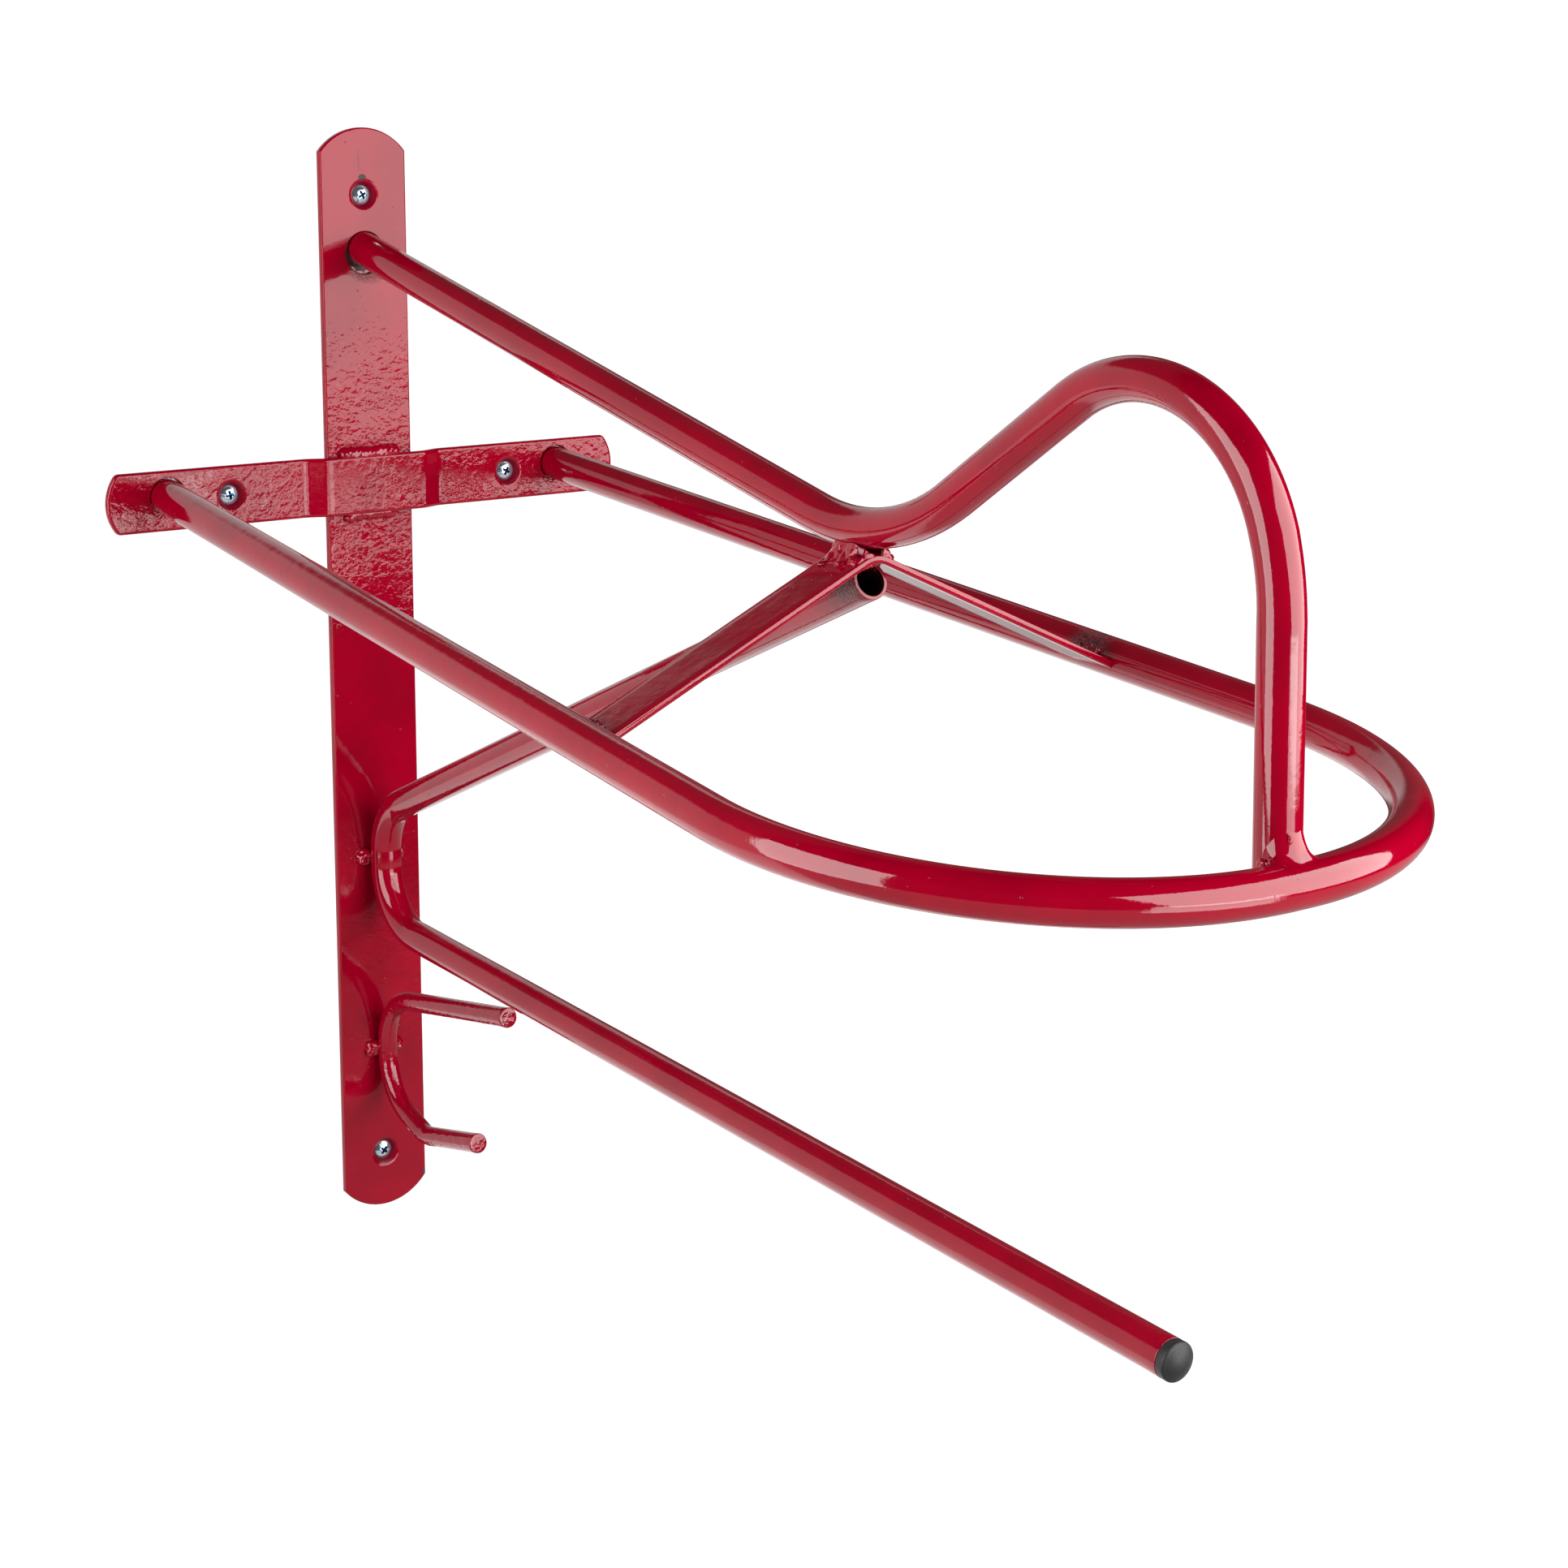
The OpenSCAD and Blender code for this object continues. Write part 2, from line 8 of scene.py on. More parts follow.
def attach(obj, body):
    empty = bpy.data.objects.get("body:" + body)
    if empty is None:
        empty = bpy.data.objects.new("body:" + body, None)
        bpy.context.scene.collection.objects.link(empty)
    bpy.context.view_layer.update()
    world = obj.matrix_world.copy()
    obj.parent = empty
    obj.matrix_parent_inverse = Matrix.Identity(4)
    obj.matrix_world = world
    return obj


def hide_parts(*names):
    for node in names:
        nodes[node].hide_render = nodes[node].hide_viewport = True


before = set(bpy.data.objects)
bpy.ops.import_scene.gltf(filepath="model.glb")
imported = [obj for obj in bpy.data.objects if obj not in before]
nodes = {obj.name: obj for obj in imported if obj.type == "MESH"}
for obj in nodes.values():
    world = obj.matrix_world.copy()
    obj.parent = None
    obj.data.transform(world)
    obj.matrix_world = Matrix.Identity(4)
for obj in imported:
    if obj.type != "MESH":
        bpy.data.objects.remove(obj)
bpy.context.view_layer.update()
MM = 0.001

# A welded saddle rack that hangs on a wall. The wall is the plane Y = 0, the rack stands out along -Y and Z
# is up. Every CAD node gets a piece with more detail, except three welds that only get a new material.

# ---- dimensions in millimetres, as in the CAD source
TUBE_D, RAIL_D, ROD_D, WALL = 16.0, 15.0, 9.5, 1.5
PLATE_W, PLATE_T, PLATE_UP, PLATE_DOWN, PLATE_END_R = 45.0, 4.0, 168.0, 365.0, 28.5
BAR_L, BAR_W, BAR_T, BAR_SHIFT, BAR_END_R = 271.0, 28.0, 4.0, 2.0, 22.0
STEP_HALF, STEP_RUN = 25.5, 9.5
SCREW_TOP, SCREW_BOTTOM, SCREW_SIDE, SINK_D = 136.6, -337.0, 74.4, 14.6
RIDGE_Z, RIDGE_FALL, RIDGE_RUN, RIDGE_BEND = 112.2, 12.85, 368.0, 107.0
RIDGE = [(RIDGE_RUN, 46.2, RIDGE_BEND), (73.0, -105.0, 63.5), (0.0, -17.0, 92.0), (82.0, 0.0, 0.0)]
RIDGE_HOLE_D, RIDGE_HOLE_Z = 19.8, 109.6
HOOP_W, HOOP_Z, HOOP_REACH, HOOP_FALL, HOOP_SPLAY, HOOP_R = 208.0, 2.4, 613.0, 5.6, 3.3, 128.0
HOOP_HOLE_R = 8.6
STRAP_W, STRAP_T, STRAP_Y, STRAP_DROP = 22.0, 3.0, 386.0, 3.0
RAIL_TOP_Y, RAIL_RISE, RAIL_BEND, RAIL_BACK, RAIL_END_Y, RAIL_FALL = 393.0, 23.9, 30.5, 5.6, 563.0, 2.2
CAP_RIM, CAP_DOME = 4.0, 2.6
HOOK_TOP_Y, HOOK_TOP_Z, HOOK_RISE, HOOK_BEND, HOOK_BACK = 125.5, -234.3, 10.3, 28.0, 5.0
HOOK_FALL, HOOK_SLOPE, HOOK_LIP, HOOK_LIP_R, HOOK_ARM = 16.4, 13.0, 13.0, 20.0, 46.0
LEG_LEAN, LEG_FOOT_Y = 1.35, 603.99
END_GAP = 0.3

# how far the drawn tubes and strap lie inside the CAD's, and the drawn share of the flat bars' width
SKIN, WIDTH_SHARE = 0.02, 0.9995
TUBE_R, RAIL_R, ROD_R = TUBE_D / 2 - SKIN, RAIL_D / 2 - SKIN, ROD_D / 2 - SKIN

# the ends of tubes: the lip of a sawn end, the chamfer of a solid one, how deep a bore is drawn
LIP, CHAMFER, BORE_DEEP = 0.25, 0.6, 70.0

# screws: X, Z and the turn of the crossed recess
SCREWS = [(0, SCREW_TOP, 28), (0, SCREW_BOTTOM, 50),
          (BAR_SHIFT - SCREW_SIDE, 0, 12), (BAR_SHIFT + SCREW_SIDE, 0, 65)]
PLATE_SCREWS, BAR_SCREWS = SCREWS[:2], SCREWS[2:]
HEAD_RIM_Y, HEAD_R, HEAD_DOME, SHANK_R, THREAD_CORE_R = -1.25, 4.47, 1.6, 2.5, 1.75
HEAD_TOP = HEAD_RIM_Y - HEAD_DOME
HEAD_BALL = (HEAD_R ** 2 + HEAD_DOME ** 2) / (2 * HEAD_DOME)


def sind(a):
    return math.sin(math.radians(a))


def cosd(a):
    return math.cos(math.radians(a))


def tand(a):
    return math.tan(math.radians(a))


def m(*p):
    """Millimetres to metres."""
    return tuple(c * MM for c in p)


def unit(v):
    return np.asarray(v, float) / np.linalg.norm(v)


def noise_at(p, scale=1.0, shift=(0, 0, 0)):
    """Smooth noise between about -1 and 1."""
    return noise.noise(Vector(p) * scale + Vector(shift))


def towards(azimuth, elevation):
    """The way from what is looked at to the eye or the lamp."""
    return Vector((sind(azimuth) * cosd(elevation), -cosd(azimuth) * cosd(elevation), sind(elevation)))


def straight_run(out, wall_y, fall, bend):
    """The length of a straight from its free end to where the bend at the wall starts."""
    return (out - wall_y - bend * (1 - sind(fall))) / cosd(fall)


# places worked out from the dimensions
HOOP_PLAN = HOOP_REACH / cosd(HOOP_FALL)
ARM_X = HOOP_W / 2 + STRAP_Y / cosd(HOOP_FALL) * tand(HOOP_SPLAY)
ARM_Z = HOOP_Z - STRAP_Y * tand(HOOP_FALL)
FRONT_Z = HOOP_Z - HOOP_REACH * tand(HOOP_FALL)
DIP_Z = RIDGE_Z - RIDGE_RUN * sind(RIDGE_FALL) - RIDGE_BEND * (1 - cosd(RIDGE_FALL))
STRAP_TOP = DIP_Z - TUBE_D / 2
STRAP_SLOPE = math.degrees(math.atan((STRAP_TOP - ARM_Z + STRAP_DROP) / ARM_X))
STRAP_UNDER = STRAP_TOP - STRAP_T / cosd(STRAP_SLOPE)
RAIL_TOP_Z = STRAP_UNDER - RAIL_D / 2 * math.hypot(tand(STRAP_SLOPE), cosd(RAIL_RISE)) - 0.15
RAIL_WALL_Y = PLATE_T + RAIL_D / 2
RAIL_UP = straight_run(RAIL_TOP_Y, RAIL_WALL_Y, RAIL_RISE, RAIL_BEND)
RAIL_LOW = straight_run(RAIL_END_Y, RAIL_WALL_Y, RAIL_FALL, RAIL_BEND)
RAIL_BACK_Z = RAIL_TOP_Z - RAIL_UP * sind(RAIL_RISE) - RAIL_BEND * cosd(RAIL_RISE) - RAIL_BACK / 2
RAIL_END_Z = RAIL_BACK_Z - RAIL_BACK / 2 - RAIL_BEND * cosd(RAIL_FALL) - RAIL_LOW * sind(RAIL_FALL)
HOOK_UP = straight_run(HOOK_TOP_Y, PLATE_T + ROD_D / 2, HOOK_RISE, HOOK_BEND)
HOOK_BACK_Z = HOOK_TOP_Z - HOOK_UP * sind(HOOK_RISE) - HOOK_BEND * cosd(HOOK_RISE) - HOOK_BACK / 2

# ---- camera
CAMERA_AT = (-0.65342, -1.22764, 0.19357)
CAMERA_AZIMUTH, CAMERA_ELEVATION, CAMERA_ROLL = -36.32, 10.84, 0.23
CAMERA_SENSOR, CAMERA_LENS, CAMERA_SHIFT = 36.0, 66.42857, -0.10
camera = bpy.data.objects.new("camera", bpy.data.cameras.new("camera"))
bpy.context.scene.collection.objects.link(camera)
camera.location = CAMERA_AT
camera.rotation_mode = "QUATERNION"
aimed = (-towards(CAMERA_AZIMUTH, CAMERA_ELEVATION)).to_track_quat("-Z", "Y")
camera.rotation_quaternion = aimed @ Quaternion((0, 0, 1), math.radians(CAMERA_ROLL))
camera.data.sensor_width = CAMERA_SENSOR
camera.data.lens = CAMERA_LENS
camera.data.shift_y = CAMERA_SHIFT
camera.data.clip_start, camera.data.clip_end = 0.01, 50
bpy.context.scene.camera = camera


# ---- node trees
class Nodes:
    """A short way to build the node tree of a material or of the world."""

    def __init__(self, owner, shader="BsdfPrincipled", output="OutputMaterial", coord="Object"):
        owner.use_nodes = True
        self.tree = owner.node_tree
        self.tree.nodes.clear()
        self.shader = self.node(shader)
        self.node(output, {0: self.shader.outputs[0]})
        self.coord = self.node("TexCoord").outputs[coord]

    def put(self, socket, value):
        """Links a socket, or sets a value."""
        if isinstance(value, bpy.types.NodeSocket):
            self.tree.links.new(value, socket)
        else:
            socket.default_value = value

    def node(self, kind, inputs=None, **props):
        n = self.tree.nodes.new("ShaderNode" + kind)
        for name, value in props.items():
            setattr(n, name, value)
        for key, value in (inputs or {}).items():
            self.put(n.inputs[key], value)
        return n

    def surface(self, inputs):
        """Sets the inputs of the shader."""
        for name, value in inputs.items():
            self.put(self.shader.inputs[name], value)

    def math(self, op, a, b, c=0.0):
        return self.node("Math", {0: a, 1: b, 2: c}, operation=op).outputs[0]

    def times(self, a, b, plus=0.0):
        return self.math("MULTIPLY_ADD", a, b, plus)

    def vector(self, op, a, b):
        return self.node("VectorMath", {0: a, 1: b}, operation=op).outputs[0]

    def length(self, v):
        return self.node("VectorMath", {0: v}, operation="LENGTH").outputs["Value"]

    def mapped(self, stretch, shift):
        at = {"Vector": self.coord, "Location": shift, "Scale": stretch}
        return self.node("Mapping", at).outputs[0]

    def noise(self, scale, detail=2.0, rough=0.5, stretch=(1, 1, 1), shift=(0, 0, 0)):
        inputs = {"Vector": self.mapped(stretch, shift), "Scale": scale, "Detail": detail, "Roughness": rough}
        return self.node("TexNoise", inputs).outputs[0]

    def dots(self, scale, size, shift=(0, 0, 0)):
        """1 inside sparse round dots, 0 elsewhere."""
        cells = self.node("TexVoronoi", {"Vector": self.mapped((1, 1, 1), shift), "Scale": scale})
        return self.step(cells.outputs["Distance"], size, size * 0.5)

    def step(self, value, start, end, low=0.0, high=1.0):
        """Low at start, high at end, smooth between."""
        inputs = {0: value, 1: start, 2: end, 3: low, 4: high}
        return self.node("MapRange", inputs, interpolation_type="SMOOTHSTEP", clamp=True).outputs[0]

    def spot(self, at, size):
        """1 at a point, falling to 0 at an ellipsoid round it."""
        away = self.vector("DIVIDE", self.vector("SUBTRACT", self.coord, at), size)
        return self.step(self.length(away), 1.0, 0.35)

    def from_axis(self, at, along):
        """The distance from a line."""
        return self.length(self.vector("CROSS_PRODUCT", self.vector("SUBTRACT", self.coord, at), along))

    def axis(self, name):
        return self.node("SeparateXYZ", {0: self.coord}).outputs[name]

    def mix(self, share, a, b):
        inputs = {0: share, 6: a, 7: b}
        return self.node("Mix", inputs, data_type="RGBA", clamp_factor=True).outputs[2]

    def bump(self, height, distance, under=None):
        inputs = {"Height": height, "Distance": distance, "Strength": 1.0}
        if under is not None:
            inputs["Normal"] = under
        return self.node("Bump", inputs).outputs[0]


# ---- powder coat
RED = (0.262, 0.0, 0.0115, 1)
RED_DEEP = (0.215, 0.0, 0.0095, 1)
PIT = (0.12, 0.0, 0.008, 1)
SOOT = (0.035, 0.022, 0.022, 1)
# dark grey: unpainted steel where paint has flaked off, and painted shade on the weld seen through the ridge
# hole
BARE_STEEL_AND_SHADE = (0.05, 0.045, 0.045, 1)
SHADE = (0.10, 0.0, 0.008, 1)
# painted shade for the inside of holes and of the rail's open end
HOLE_SHADE = (0.008, 0.008, 0.008, 1)
BORE_SHADE = (0.006, 0.004, 0.004, 1)


class Coat(Nodes):
    """Glossy red powder coat, built up in layers. The seed shifts its patterns."""

    def __init__(self, name, seed):
        self.mat = bpy.data.materials.new(name)
        super().__init__(self.mat)
        self.shift = np.array((1, 0.7, -0.4)) * seed
        tone = self.pattern(28, 3, 0.6)
        self.colour = self.mix(self.step(tone, 0.35, 0.7), RED, RED_DEEP)
        self.rough = self.times(self.step(tone, 0.2, 0.9), 0.05, 0.045)
        self.normal = None
        self.hidden = None

    def pattern(self, scale, detail, rough, stretch=(1, 1, 1), aside=(0, 0, 0)):
        return self.noise(scale, detail, rough, stretch, tuple(self.shift + aside))

    def nibs(self, scale, size, aside):
        return self.dots(scale, size, tuple(self.shift + aside))

    def relief(self, height, distance):
        self.normal = self.bump(height, distance, self.normal)

    def tint(self, mask, colour):
        self.colour = self.mix(mask, self.colour, colour)

    def roughen(self, mask, amount):
        self.rough = self.math("ADD", self.rough, self.times(mask, amount))

    def hide(self, mask):
        """Marks where little light finds its way out."""
        self.hidden = mask if self.hidden is None else self.math("MAXIMUM", self.hidden, mask)

    def peel(self, depth, calm):
        """Orange peel: swells, waves and a fine grain. Calm scales the swells and the waves."""
        self.relief(self.pattern(55, 2, 0.5), 0.00012 * depth * calm)
        self.relief(self.pattern(210, 2, 0.5), 0.00004 * depth * calm)
        self.relief(self.pattern(950, 2, 0.55), 0.000010 * depth)
        # sanding marks and dust in patches, which fray the edges of reflections
        marks = self.pattern(520, 4, 0.65, stretch=(1, 0.35, 1))
        patches = self.step(self.pattern(34, 2, 0.5, aside=(0, 9, 0)), 0.48, 0.62)
        self.relief(self.times(marks, patches), 0.00005 * depth)

    def rolled(self, strength, size):
        """The lumpy skin of hot-rolled steel, as big lumps and smaller ones."""
        kinds = ((0.42, 0, 0.42, 0.66, 0.00030), (0.85, 2, 0.44, 0.70, 0.00017))
        for share, aside, low, high, depth in kinds:
            lumps = self.pattern(size * share, 2, 0.5, stretch=(0.9, 1, 1.1), aside=(aside, 0, 0))
            self.relief(self.times(self.step(lumps, low, high), strength), depth)

    def pinholes(self):
        """Pinholes in the coat and nibs of dust under it."""
        pits = self.nibs(95, 0.055, (3, 0, 0))
        self.relief(pits, -0.00010)
        self.relief(self.nibs(160, 0.05, (0, 5, 0)), 0.00012)
        self.tint(self.times(pits, 0.55), PIT)

    def soot(self, at, size):
        """Mottled burn marks."""
        mottle = self.step(self.pattern(620, 3, 0.7), 0.40, 0.60)
        mask = self.times(self.spot(at, size), mottle)
        self.tint(self.times(mask, 0.85), SOOT)
        self.roughen(mask, 0.25)
        self.relief(mask, 0.00012)

    def chip_and_shade(self, at, size):
        """A ragged dark patch with a weaker reflection: unpainted steel where the paint has flaked off the
        plate, and painted shade on the weld seen through the ridge hole.
        """
        ragged = self.pattern(500, 3, 0.6)
        mask = self.step(self.times(ragged, 0.7, self.spot(at, size)), 0.72, 0.86)
        self.tint(mask, BARE_STEEL_AND_SHADE)
        self.roughen(mask, 0.25)
        self.relief(mask, -0.00010)
        self.hide(mask)

    def shade(self, at, size):
        self.tint(self.spot(at, size), SHADE)

    def bore(self, at, along, start, end, tint):
        """Paints shade inside a hole: a dark tint and a weaker reflection. The edge of the tint lies between
        start and end from the axis.
        """
        width = end - start
        far = self.times(self.pattern(700, 3, 0.7), width * 0.6, self.from_axis(at, along))
        inside = self.step(far, end + width * 0.3, start)
        self.tint(inside, tint)
        self.roughen(inside, 0.35)
        self.hide(inside)

    def done(self, gloss):
        shine = gloss if self.hidden is None else self.times(self.hidden, -0.75 * gloss, gloss)
        self.surface({"Base Color": self.colour, "Roughness": self.rough, "Normal": self.normal,
                        "IOR": 1.5, "Specular IOR Level": shine})
        return self.mat


def paint(name, peel=1.0, calm=1.0, lumps=None, lump_size=560.0, spots=(), bare=(), shades=(), hole_shades=(),
          gloss=0.5, seed=0.0):
    """A coat of paint. Lumps makes the socket for how strongly the hot-rolled steel shows through."""
    coat = Coat(name, seed)
    coat.peel(peel, calm)
    if lumps is not None:
        coat.rolled(lumps(coat), lump_size)
    coat.pinholes()
    for layer, places in ((coat.soot, spots), (coat.chip_and_shade, bare), (coat.shade, shades), (coat.bore, hole_shades)):
        for place in places:
            layer(*place)
    return coat.done(gloss)


def plate_lumps(n):
    """Strong beside the cross bar, weak towards the plate's ends."""
    z = n.axis("Z")
    patchy = n.step(n.noise(45), 0.36, 0.60)
    near = n.times(n.step(z, 0.105, 0.030), n.step(z, -0.082, -0.028))
    return n.times(n.times(near, n.times(patchy, 0.8, 0.2)), 0.60, 0.03)


def bar_lumps(n):
    """Patchy, and hardly any where the bar was bent over the plate's edges."""
    patchy = n.step(n.noise(48, shift=(2, 0, 0)), 0.36, 0.58)
    off_middle = n.math("ABSOLUTE", n.math("SUBTRACT", n.axis("X"), BAR_SHIFT * MM), 0.0)
    bend = n.times(n.step(off_middle, 0.0235, 0.0255), n.step(off_middle, 0.039, 0.036))
    return n.times(n.times(patchy, 0.26, 0.08), n.times(bend, -0.8, 1.0))


def weld_lumps(n):
    return n.times(n.noise(30), 0.35)


def weld_coat(name, peel=1.2, lumps=weld_lumps, **places):
    return paint(name, peel, lumps=lumps, lump_size=700.0, **places)


def screw_sink_shades(screws):
    """Painted shade in the countersinks round the screw heads, as entries for the holes that paint darkens.
    """
    return [(m(x, 0, z), (0, 1, 0), 0.0058, 0.0074, SHADE) for x, z, _ in screws]


SMUDGES = ((132, 4), (150, 1), (154.5, 3), (171, 0))
tube_paint = paint("paint_tube", spots=[
    (m(ARM_X - 5, -STRAP_Y + 4, ARM_Z + 4), m(13, 15, 9)),
], shades=[
    (m(-118, -y, HOOP_Z - y * tand(HOOP_FALL) + up), m(7, 0.35, 5)) for y, up in SMUDGES
])
rail_paint = paint("paint_rail", seed=0.6, spots=[
    (m(-5, -RAIL_TOP_Y + 11, RAIL_TOP_Z - 1), m(9, 20, 10)),
], hole_shades=[
    # painted shade inside the rail's open end
    (m(0, -RAIL_TOP_Y, RAIL_TOP_Z), (0, cosd(RAIL_RISE), -sind(RAIL_RISE)), 0.0060, 0.0066, BORE_SHADE),
])
rod_paint = paint("paint_rod", peel=1.1, lumps=weld_lumps, seed=1.7)
plate_paint = paint("paint_plate", calm=0.4, lumps=plate_lumps, gloss=0.32, seed=4.1, spots=[
    (m(2.5, -4, RIDGE_HOLE_Z - 8.5), m(13, 4, 8)),
], bare=[
    (m(-0.6, -4.2, SCREW_TOP + 8.2), m(2.8, 1.5, 2.1)),
    (m(22, -3, -352.5), m(2.0, 3, 3.0)),
], shades=[
    (m(-2.4, -4, SCREW_TOP + 15.5), m(0.45, 1.5, 6.5)),
], hole_shades=[
    # painted shade in the gap round the ridge tube, and in the screw countersinks
    (m(0, 0, RIDGE_HOLE_Z), (0, 1, 0), 0.0098, 0.0107, HOLE_SHADE),
] + screw_sink_shades(PLATE_SCREWS))
bar_paint = paint("paint_bar", calm=0.5, lumps=bar_lumps, gloss=0.36, seed=7.3, hole_shades=[
    # painted shade in the gaps round the hoop in the bar's holes, and in the screw countersinks
    (m(side * HOOP_W / 2, 0, HOOP_Z), (0, 1, 0), 0.0080, 0.0088, BORE_SHADE) for side in (-1, 1)
] + screw_sink_shades(BAR_SCREWS))
strap_paint = paint("paint_strap", peel=0.8, seed=9.9)
bead_paint = paint("paint_bead", peel=0.4, seed=11.1)
weld_paint = weld_coat("paint_weld", seed=12.4)
strap_weld_paint = weld_coat("paint_strap_weld", seed=13.1, shades=[
    (m(-6.8, -STRAP_Y - 8.6, STRAP_TOP - 0.8), m(2.2, 2.4, 1.8)),
    (m(-5.4, -STRAP_Y - 7.6, STRAP_TOP + 1.6), m(1.2, 1.6, 2.4)),
])
# painted shade: the weld seen in the gap round the ridge tube is tinted dark grey, with a weaker reflection
hole_weld_paint = weld_coat("paint_hole_weld", seed=14.6, bare=[
    (m(0, -3.4, RIDGE_HOLE_Z), m(14, 4.6, 14)),
])
burnt_paint = weld_coat("paint_burnt", peel=1.5, lumps=bar_lumps, seed=15.2, spots=[
    (m(side * (ARM_X - 9), -STRAP_Y + 3, ARM_Z + 2), m(16, 22, 14)) for side in (-1, 1)
])


# ---- zinc and plastic
def zinc(name, screws):
    """Bright zinc plate with a blue passivation, and painted shade in the crossed recesses of the screws."""
    mat = bpy.data.materials.new(name)
    n = Nodes(mat)
    cloud = n.noise(420, 3, 0.6)
    colour = n.mix(n.step(cloud, 0.3, 0.7), (0.78, 0.88, 0.96, 1), (0.58, 0.70, 0.83, 1))
    colour = n.mix(n.times(n.dots(900, 0.12), 0.5), colour, (0.10, 0.10, 0.11, 1))
    near = 1.0
    for x, z, _ in screws:
        near = n.math("MINIMUM", n.from_axis(m(x, 0, z), (0, 1, 0)), near)
    # how far below the dome of the head
    dome = n.times(n.times(near, near), 0.5 / (HEAD_BALL * MM), HEAD_TOP * MM)
    depth = n.math("SUBTRACT", n.axis("Y"), dome)
    inside = n.times(n.step(depth, 0.00012, 0.0004), n.step(near, 0.0037, 0.0034))
    inside = n.times(inside, n.step(n.axis("Y"), -0.0002, -0.0006))
    # painted shade: the crossed recesses are tinted dark blue
    colour = n.mix(inside, colour, (0.018, 0.065, 0.15, 1))
    normal = n.bump(n.noise(1400, 2, 0.6), 0.00001)
    normal = n.bump(n.noise(500), 0.00002, normal)
    n.surface({"Base Color": colour, "Roughness": n.times(cloud, 0.12, 0.05), "Normal": normal,
               "Metallic": 0.9})
    return mat


def plastic(name):
    """Black moulded plastic with a fine spark-eroded grain."""
    mat = bpy.data.materials.new(name)
    n = Nodes(mat)
    grain = n.noise(1500, 3, 0.65)
    colour = n.mix(n.step(n.noise(60), 0.3, 0.7), (0.011, 0.011, 0.012, 1), (0.018, 0.018, 0.019, 1))
    scuff = n.step(n.noise(90, 4, 0.7, stretch=(1, 1, 5)), 0.62, 0.72)
    colour = n.mix(n.times(scuff, 0.25), colour, (0.05, 0.05, 0.05, 1))
    normal = n.bump(grain, 0.00009)
    normal = n.bump(n.noise(160), 0.00005, normal)
    n.surface({"Base Color": colour, "Roughness": n.times(grain, 0.25, 0.38), "Normal": normal,
               "IOR": 1.5, "Specular IOR Level": 0.35})
    return mat


zinc_plate = zinc("zinc_plate", SCREWS)
cap_plastic = plastic("cap_plastic")


# ---- mesh helpers
def new_object(name, verts, faces, merge=False):
    """An object from vertices in millimetres."""
    mesh = bpy.data.meshes.new(name)
    mesh.from_pydata((np.asarray(verts, float) * MM).tolist(), [], [list(map(int, f)) for f in faces])
    bm = bmesh.new()
    bm.from_mesh(mesh)
    if merge:
        bmesh.ops.remove_doubles(bm, verts=bm.verts, dist=1e-7)
    bmesh.ops.recalc_face_normals(bm, faces=bm.faces)
    bm.to_mesh(mesh)
    bm.free()
    obj = bpy.data.objects.new(name, mesh)
    bpy.context.scene.collection.objects.link(obj)
    return obj


def dress(obj, mat, replaced=(), angle=40.0):
    """Makes an object a piece of the part."""
    obj.data.materials.clear()
    obj.data.materials.append(mat)
    obj.data.shade_smooth()
    obj.data.set_sharp_from_angle(angle=math.radians(angle))
    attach(obj, "root")
    if replaced:
        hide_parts(*replaced)


def add(name, verts, faces, mat, slot, replaced=(), angle=40.0):
    """A piece from vertices in millimetres."""
    dress(new_object(name, verts, faces, merge=True), mat, replaced, angle)


def flatten(obj):
    """Shades the faces that lie square to the wall flat, so that the holes cut in them bend no reflection."""
    for face in obj.data.polygons:
        if abs(face.normal.y) > 0.9999:
            face.use_smooth = False


def apply_all(obj):
    """Applies every modifier of obj."""
    mesh = bpy.data.meshes.new_from_object(obj.evaluated_get(bpy.context.evaluated_depsgraph_get()))
    obj.modifiers.clear()
    old = obj.data
    obj.data = mesh
    bpy.data.meshes.remove(old)


def bevel(obj, width, segments, angle=50.0):
    """Rounds the sharp edges of obj."""
    b = obj.modifiers.new("edge", "BEVEL")
    b.width, b.segments = width * MM, segments
    b.limit_method, b.angle_limit = "ANGLE", math.radians(angle)
    apply_all(obj)


def cut(obj, cutters):
    """Cuts the cutters out of obj and removes them."""
    for c in cutters:
        b = obj.modifiers.new("cut", "BOOLEAN")
        b.operation, b.solver, b.object = "DIFFERENCE", "EXACT", c
    apply_all(obj)
    for c in cutters:
        bpy.data.objects.remove(c)


def grid_faces(rows, cols, close=True):
    """Faces between rows of points. Close joins the last column to the first."""
    faces = []
    for i in range(rows - 1):
        for j in range(cols if close else cols - 1):
            k = (j + 1) % cols
            faces.append((i * cols + j, i * cols + k, (i + 1) * cols + k, (i + 1) * cols + j))
    return faces


def capped_faces(rows, cols):
    """Faces between rings of points, and one over either end."""
    ends = [list(range(cols))[::-1], list(range((rows - 1) * cols, rows * cols))]
    return grid_faces(rows, cols) + ends


def ring_faces(rings):
    """Faces between rings of vertex numbers, where a ring of one vertex is a tip."""
    faces = []
    for p, q in zip(rings[:-1], rings[1:]):
        count = max(len(p), len(q))
        for j in range(count):
            k = (j + 1) % count
            if len(p) == 1:
                faces.append((p[0], q[j], q[k]))
            elif len(q) == 1:
                faces.append((p[j], p[k], q[0]))
            else:
                faces.append((p[j], p[k], q[k], q[j]))
    return faces


